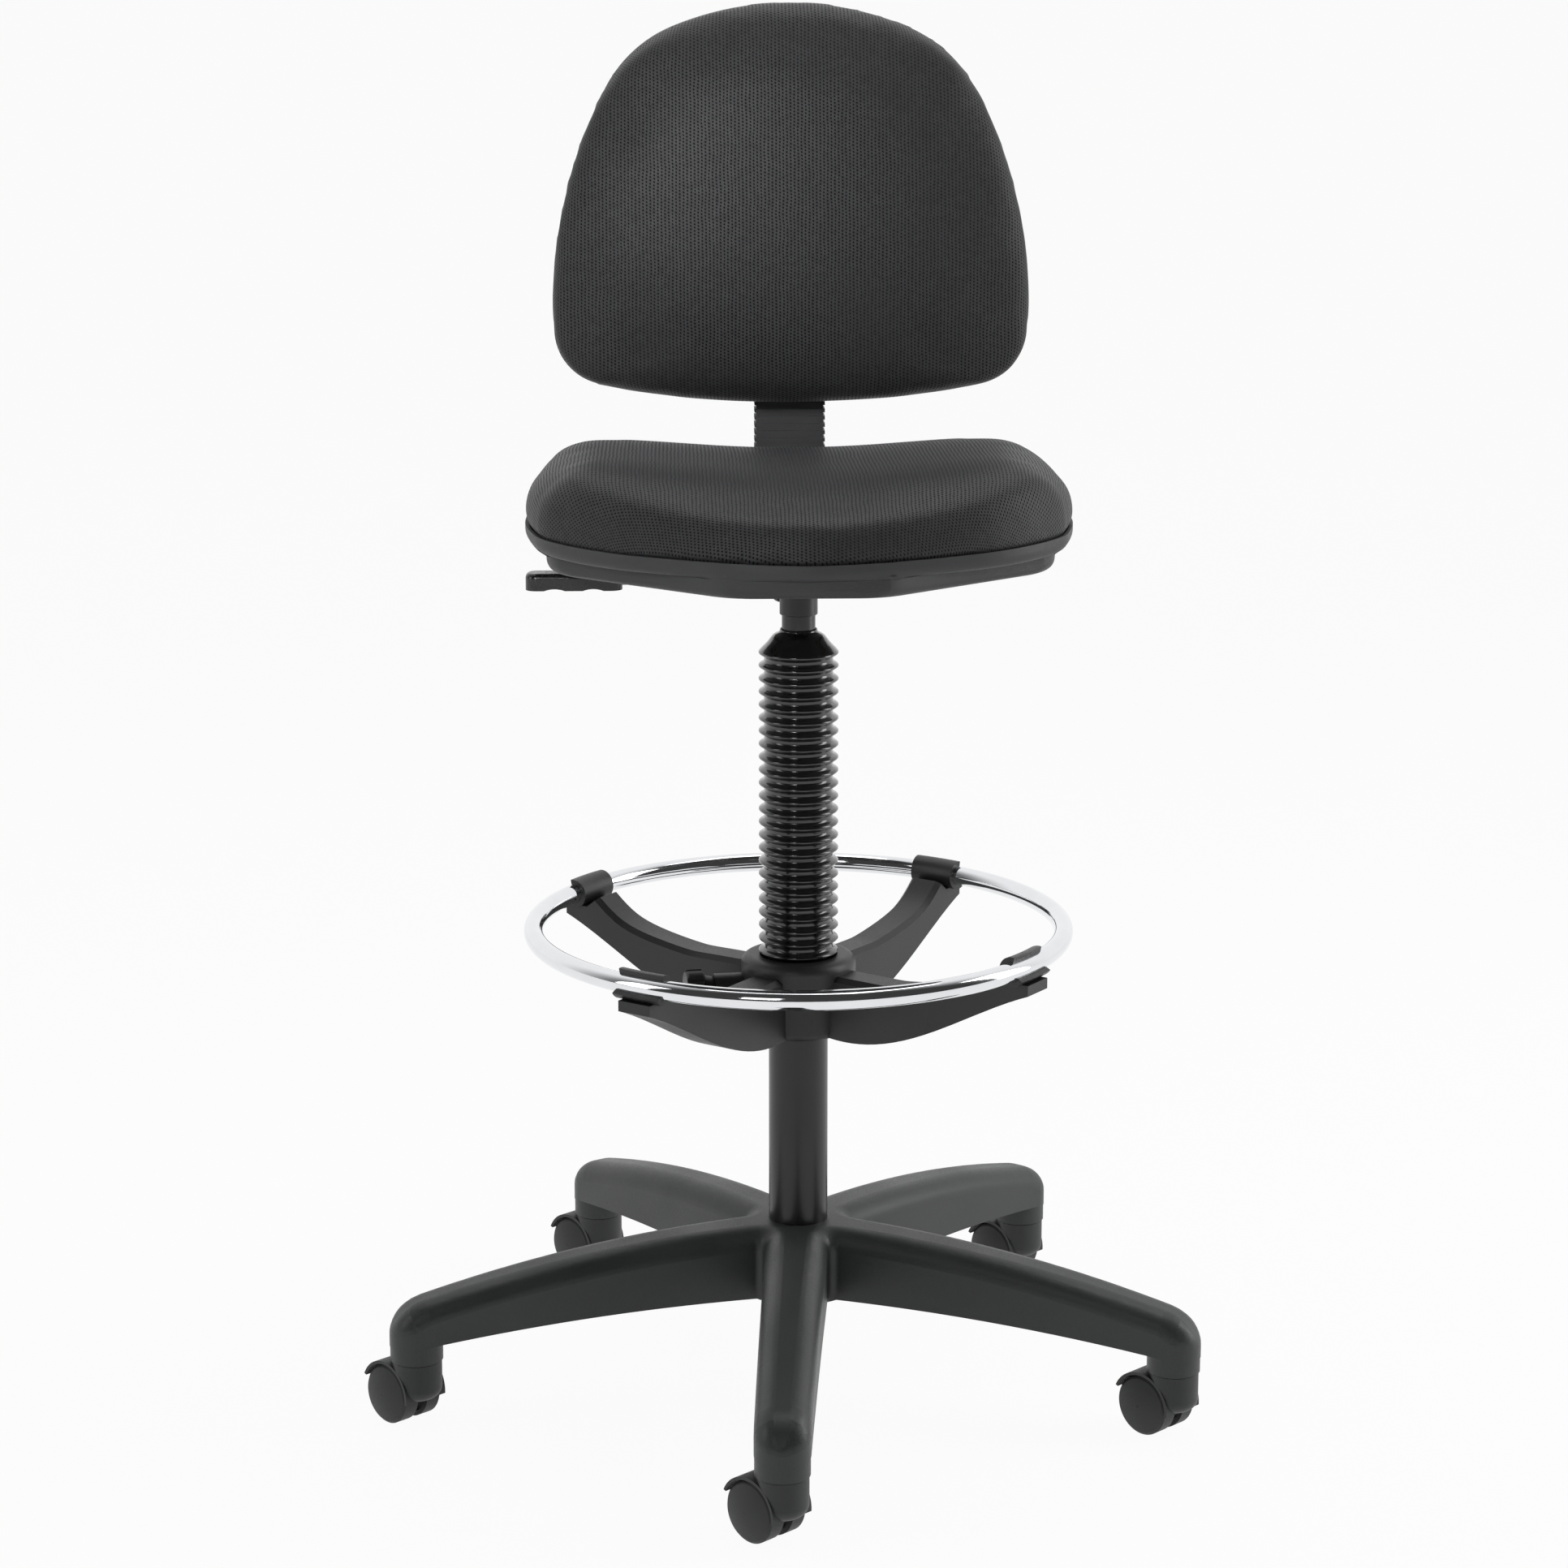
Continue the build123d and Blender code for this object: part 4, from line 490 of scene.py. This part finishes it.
# ---- back pad ----
CROWN = 0.020  # how much thinner the back pad is at its sides than in the middle
CROWN_DEPTH = 0.040  # in front of the board, where the thinning is full
BACK_DRAWN = 0.003  # how far the outline draws in
BACK_HELD = 0.004  # in front of the board, where the cover is held
BACK_SWELL = 0.008  # at most, when the cover fills out
BACK_EDGE = 0.03  # radius by which the weave turns over the edge
BOARD_BEND = 0.86  # radius of the board's curve
WAIST_UP = 0.1  # from the pad's lower edge to its foremost height
WAIST_THICKNESS = 0.041


def back_pad():
    """Upholstered back, bowed towards the sitter, tight against its board."""
    low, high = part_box("back_cushion")
    middle = (low + high) / 2
    half = (high.x - low.x) / 2
    waist = low.z + WAIST_UP
    rear_waist = low.y + WAIST_THICKNESS

    def board_face(z):
        """Where the board's front face lies along Y at a height."""
        return rear_waist + (z - waist) ** 2 / (2 * BOARD_BEND)

    def shape(co):
        inset = 1 - BACK_DRAWN / half
        front = min(1.0, max(0.0, (board_face(co.z) - co.y) / CROWN_DEPTH))
        thinner = CROWN * front * (co.x / half) ** 2
        return Vector((co.x * inset, co.y + thinner, middle.z + (co.z - middle.z) * inset))

    def held(co):
        return co.y > board_face(co.z) - BACK_HELD

    def over_edge(vertex):
        drop = BACK_EDGE * (1 - max(0.0, -vertex.normal.y))
        outward = Vector(((vertex.co.x / half) ** 3, ((vertex.co.z - middle.z) / half) ** 3))
        return Vector((vertex.co.x, vertex.co.z)), drop, outward

    pad = cushion_from("back_cushion", "back_pad", shape, held, BACK_SWELL)
    lay_weave(pad, over_edge, BACK_EDGE)
    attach(pad, "back")
    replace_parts(pad, "back_cushion")


seat_pad()
seat_pan()
back_pad()


# ---- boot of the gas column ----
PLEATS = 24
PLEAT_DEPTH = 0.0047
CUFF_R = 0.0262  # outside, round the column's tube
CUFF_HEIGHT = 0.013  # up to the tip of the first pleat
NECK_R = 0.0158  # outside, round the gas cylinder
NECK_HEIGHT = 0.004  # above the dome
DOME_HEIGHT = 0.020  # from the tip of the last pleat to the top
BOOT_TURNS = 72  # steps of the lathe


def pleat(z, pitch, tip, valley):
    """Outline of one pleat: out of its valley, over its rounded tip at z and back."""
    rising = [(valley, 0.36), (valley + 0.0006, 0.28), (tip - 0.0012, 0.15), (tip - 0.0001, 0.06)]
    below = [(radius, z - pitch * share) for radius, share in rising]
    above = [(radius, z + pitch * share) for radius, share in reversed(rising)]
    return below + above


def column_boot():
    """Pleated boot, turned from its profile."""
    low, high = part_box("bellows")
    tip = (high.x - low.x) / 2
    valley = tip - PLEAT_DEPTH
    cuff, neck = CUFF_R, NECK_R
    dome_top = high.z - NECK_HEIGHT
    first = low.z + CUFF_HEIGHT
    shoulder = high.z - DOME_HEIGHT
    pitch = (shoulder - first) / (PLEATS - 1)
    profile = [(cuff - 0.0008, low.z), (cuff, low.z + 0.0008), (cuff, first - pitch * 0.55)]
    for index in range(PLEATS):
        profile += pleat(first + pitch * index, pitch, tip, valley)
    dome = [
        (tip - 0.0030, shoulder + 0.0040), (tip - 0.0080, shoulder + 0.0085),
        (neck + 0.0060, dome_top - 0.0010), (neck + 0.0020, dome_top + 0.0002), (neck, dome_top + 0.0015),
        (neck, high.z - 0.0006), (neck - 0.0008, high.z),
    ]
    inside = [
        (neck - 0.0014, high.z - 0.0008), (neck - 0.0014, dome_top - 0.004), (valley - 0.0030, shoulder),
        (valley - 0.0022, first), (cuff - 0.0010, first - pitch), (cuff - 0.0010, low.z + 0.0004),
    ]
    profile[-2:] = dome + inside
    bm = bmesh.new()
    ring = [bm.verts.new((radius, 0, z)) for radius, z in profile]
    edges = [bm.edges.new(pair) for pair in zip(ring, ring[1:] + ring[:1])]
    whole_turn = {"cent": (0, 0, 0), "axis": (0, 0, 1), "angle": 2 * math.pi, "use_merge": True}
    bmesh.ops.spin(bm, geom=ring + edges, steps=BOOT_TURNS, **whole_turn)
    bmesh.ops.remove_doubles(bm, verts=bm.verts, dist=SAME_POINT)
    bmesh.ops.recalc_face_normals(bm, faces=bm.faces)
    boot = new_piece("column_boot", bm, "bellows_black", "base")
    rounder = boot.modifiers.new("rounder", "SUBSURF")
    rounder.levels = rounder.render_levels = 1
    settle_modifiers(boot)
    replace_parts(boot, "bellows")
    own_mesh(boot)


column_boot()


# ---------------------------------------------------------------- studio
CAMERA_AT = (-0.112, -3.160, 1.263)
CAMERA_TURN = 1.81  # degrees to the right of +Y
CAMERA_TILT = 10.75  # degrees down
CAMERA_LENS = 88.9
CAMERA_SHIFT = -0.10  # of the lens, as a share of the frame
FLOOR_HALF = 60.0
FLOOR_SEEN = 0.95  # how much of the floor shows as plain white, the rest being lit and shaded
MIRRORED = (0.05, 1.0)  # brightness of the surroundings in a reflection, behind the camera and ahead of it
MIRRORED_OVER = (-0.30, 0.55)  # between these two directions along Y
WORLD_LIGHT = 0.32  # how much of that brightness lights the chair


def camera():
    """Eye-level camera in front of the chair."""
    data = bpy.data.cameras.new("camera")
    data.lens = CAMERA_LENS
    data.sensor_width = 36.0
    data.shift_y = CAMERA_SHIFT
    eye = bpy.data.objects.new("camera", data)
    eye.location = CAMERA_AT
    eye.rotation_euler = (math.radians(90 - CAMERA_TILT), 0.0, math.radians(-CAMERA_TURN))
    bpy.context.scene.collection.objects.link(eye)
    bpy.context.scene.camera = eye


def soft_light(name, at, aim, width, height, power, beam=180):
    """A rectangular softbox that looks at a point, its beam in degrees."""
    data = bpy.data.lights.new(name, "AREA")
    data.shape = "RECTANGLE"
    data.size = width
    data.size_y = height
    data.energy = power
    data.spread = math.radians(beam)
    lamp = bpy.data.objects.new(name, data)
    lamp.location = at
    lamp.rotation_euler = (Vector(aim) - Vector(at)).to_track_quat("-Z", "Y").to_euler()
    bpy.context.scene.collection.objects.link(lamp)


def floor():
    """Pale floor that keeps a soft shadow and reads as white."""
    bm = bmesh.new()
    bmesh.ops.create_grid(bm, x_segments=2, y_segments=2, size=FLOOR_HALF)
    mesh = bpy.data.meshes.new("floor")
    bm.to_mesh(mesh)
    bm.free()
    piece = bpy.data.objects.new("floor", mesh)
    bpy.context.scene.collection.objects.link(piece)
    material = bpy.data.materials.new("floor_white")
    material.use_nodes = True
    tree = material.node_tree
    shader = tree.nodes["Principled BSDF"]
    shader.inputs["Roughness"].default_value = 0.9
    shader.inputs["Specular IOR Level"].default_value = 0.1
    shader.inputs["Base Color"].default_value = (0.86, 0.86, 0.86, 1)
    path = add_node(tree, "LightPath")
    seen = calc(tree, "MAXIMUM", path.outputs["Is Camera Ray"], path.outputs["Is Glossy Ray"])
    seen = calc(tree, "MAXIMUM", seen, path.outputs["Is Transmission Ray"])
    share = calc(tree, "MULTIPLY", seen, FLOOR_SEEN)
    glow = add_node(tree, "Emission", {"Color": (1, 1, 1, 1), "Strength": 1.0})
    mix = add_node(tree, "MixShader", {0: share, 1: shader.outputs[0], 2: glow.outputs[0]})
    tree.links.new(mix.outputs[0], tree.nodes["Material Output"].inputs["Surface"])
    mesh.materials.append(material)


def studio_world():
    """White surroundings, dim behind the camera, at a plain level as light."""
    world = bpy.data.worlds.new("studio")
    bpy.context.scene.world = world
    world.use_nodes = True
    tree = world.node_tree
    tree.nodes.clear()
    path = add_node(tree, "LightPath")
    ahead = add_node(tree, "SeparateXYZ", {"Vector": add_node(tree, "TexCoord").outputs["Generated"]})
    mirrored = spread(tree, ahead.outputs["Y"], *MIRRORED, *MIRRORED_OVER, smooth=True)
    lit = calc(tree, "MULTIPLY", mirrored, WORLD_LIGHT)
    through = calc(tree, "MAXIMUM", path.outputs["Is Camera Ray"], path.outputs["Is Transmission Ray"])
    strength = add_node(tree, "Mix", {"Factor": path.outputs["Is Glossy Ray"], "A": lit, "B": mirrored})
    strength = add_node(tree, "Mix", {"Factor": through, "A": strength.outputs[0], "B": 1.0})
    back = add_node(tree, "Background", {"Color": (1, 1, 1, 1), "Strength": strength.outputs[0]})
    out = add_node(tree, "OutputWorld")
    tree.links.new(back.outputs[0], out.inputs["Surface"])


camera()
floor()
studio_world()
soft_light("back_spot", (-0.9, -3.0, 1.9), (-0.12, 0.15, 1.08), 0.6, 0.7, 1.2, beam=18)
soft_light("front_softbox", (-0.95, -3.1, 1.85), (0, 0, 0.9), 0.9, 1.1, 7)
soft_light("left_softbox", (-2.6, -0.9, 1.5), (0, 0, 0.6), 0.8, 2.0, 13)
soft_light("right_softbox", (2.4, 0.1, 1.3), (0, 0, 0.6), 0.9, 2.2, 30)
soft_light("top_softbox", (0.2, 0.4, 3.2), (0, 0, 0.5), 2.0, 1.6, 28)

scene = bpy.context.scene
scene.view_settings.view_transform = "Standard"
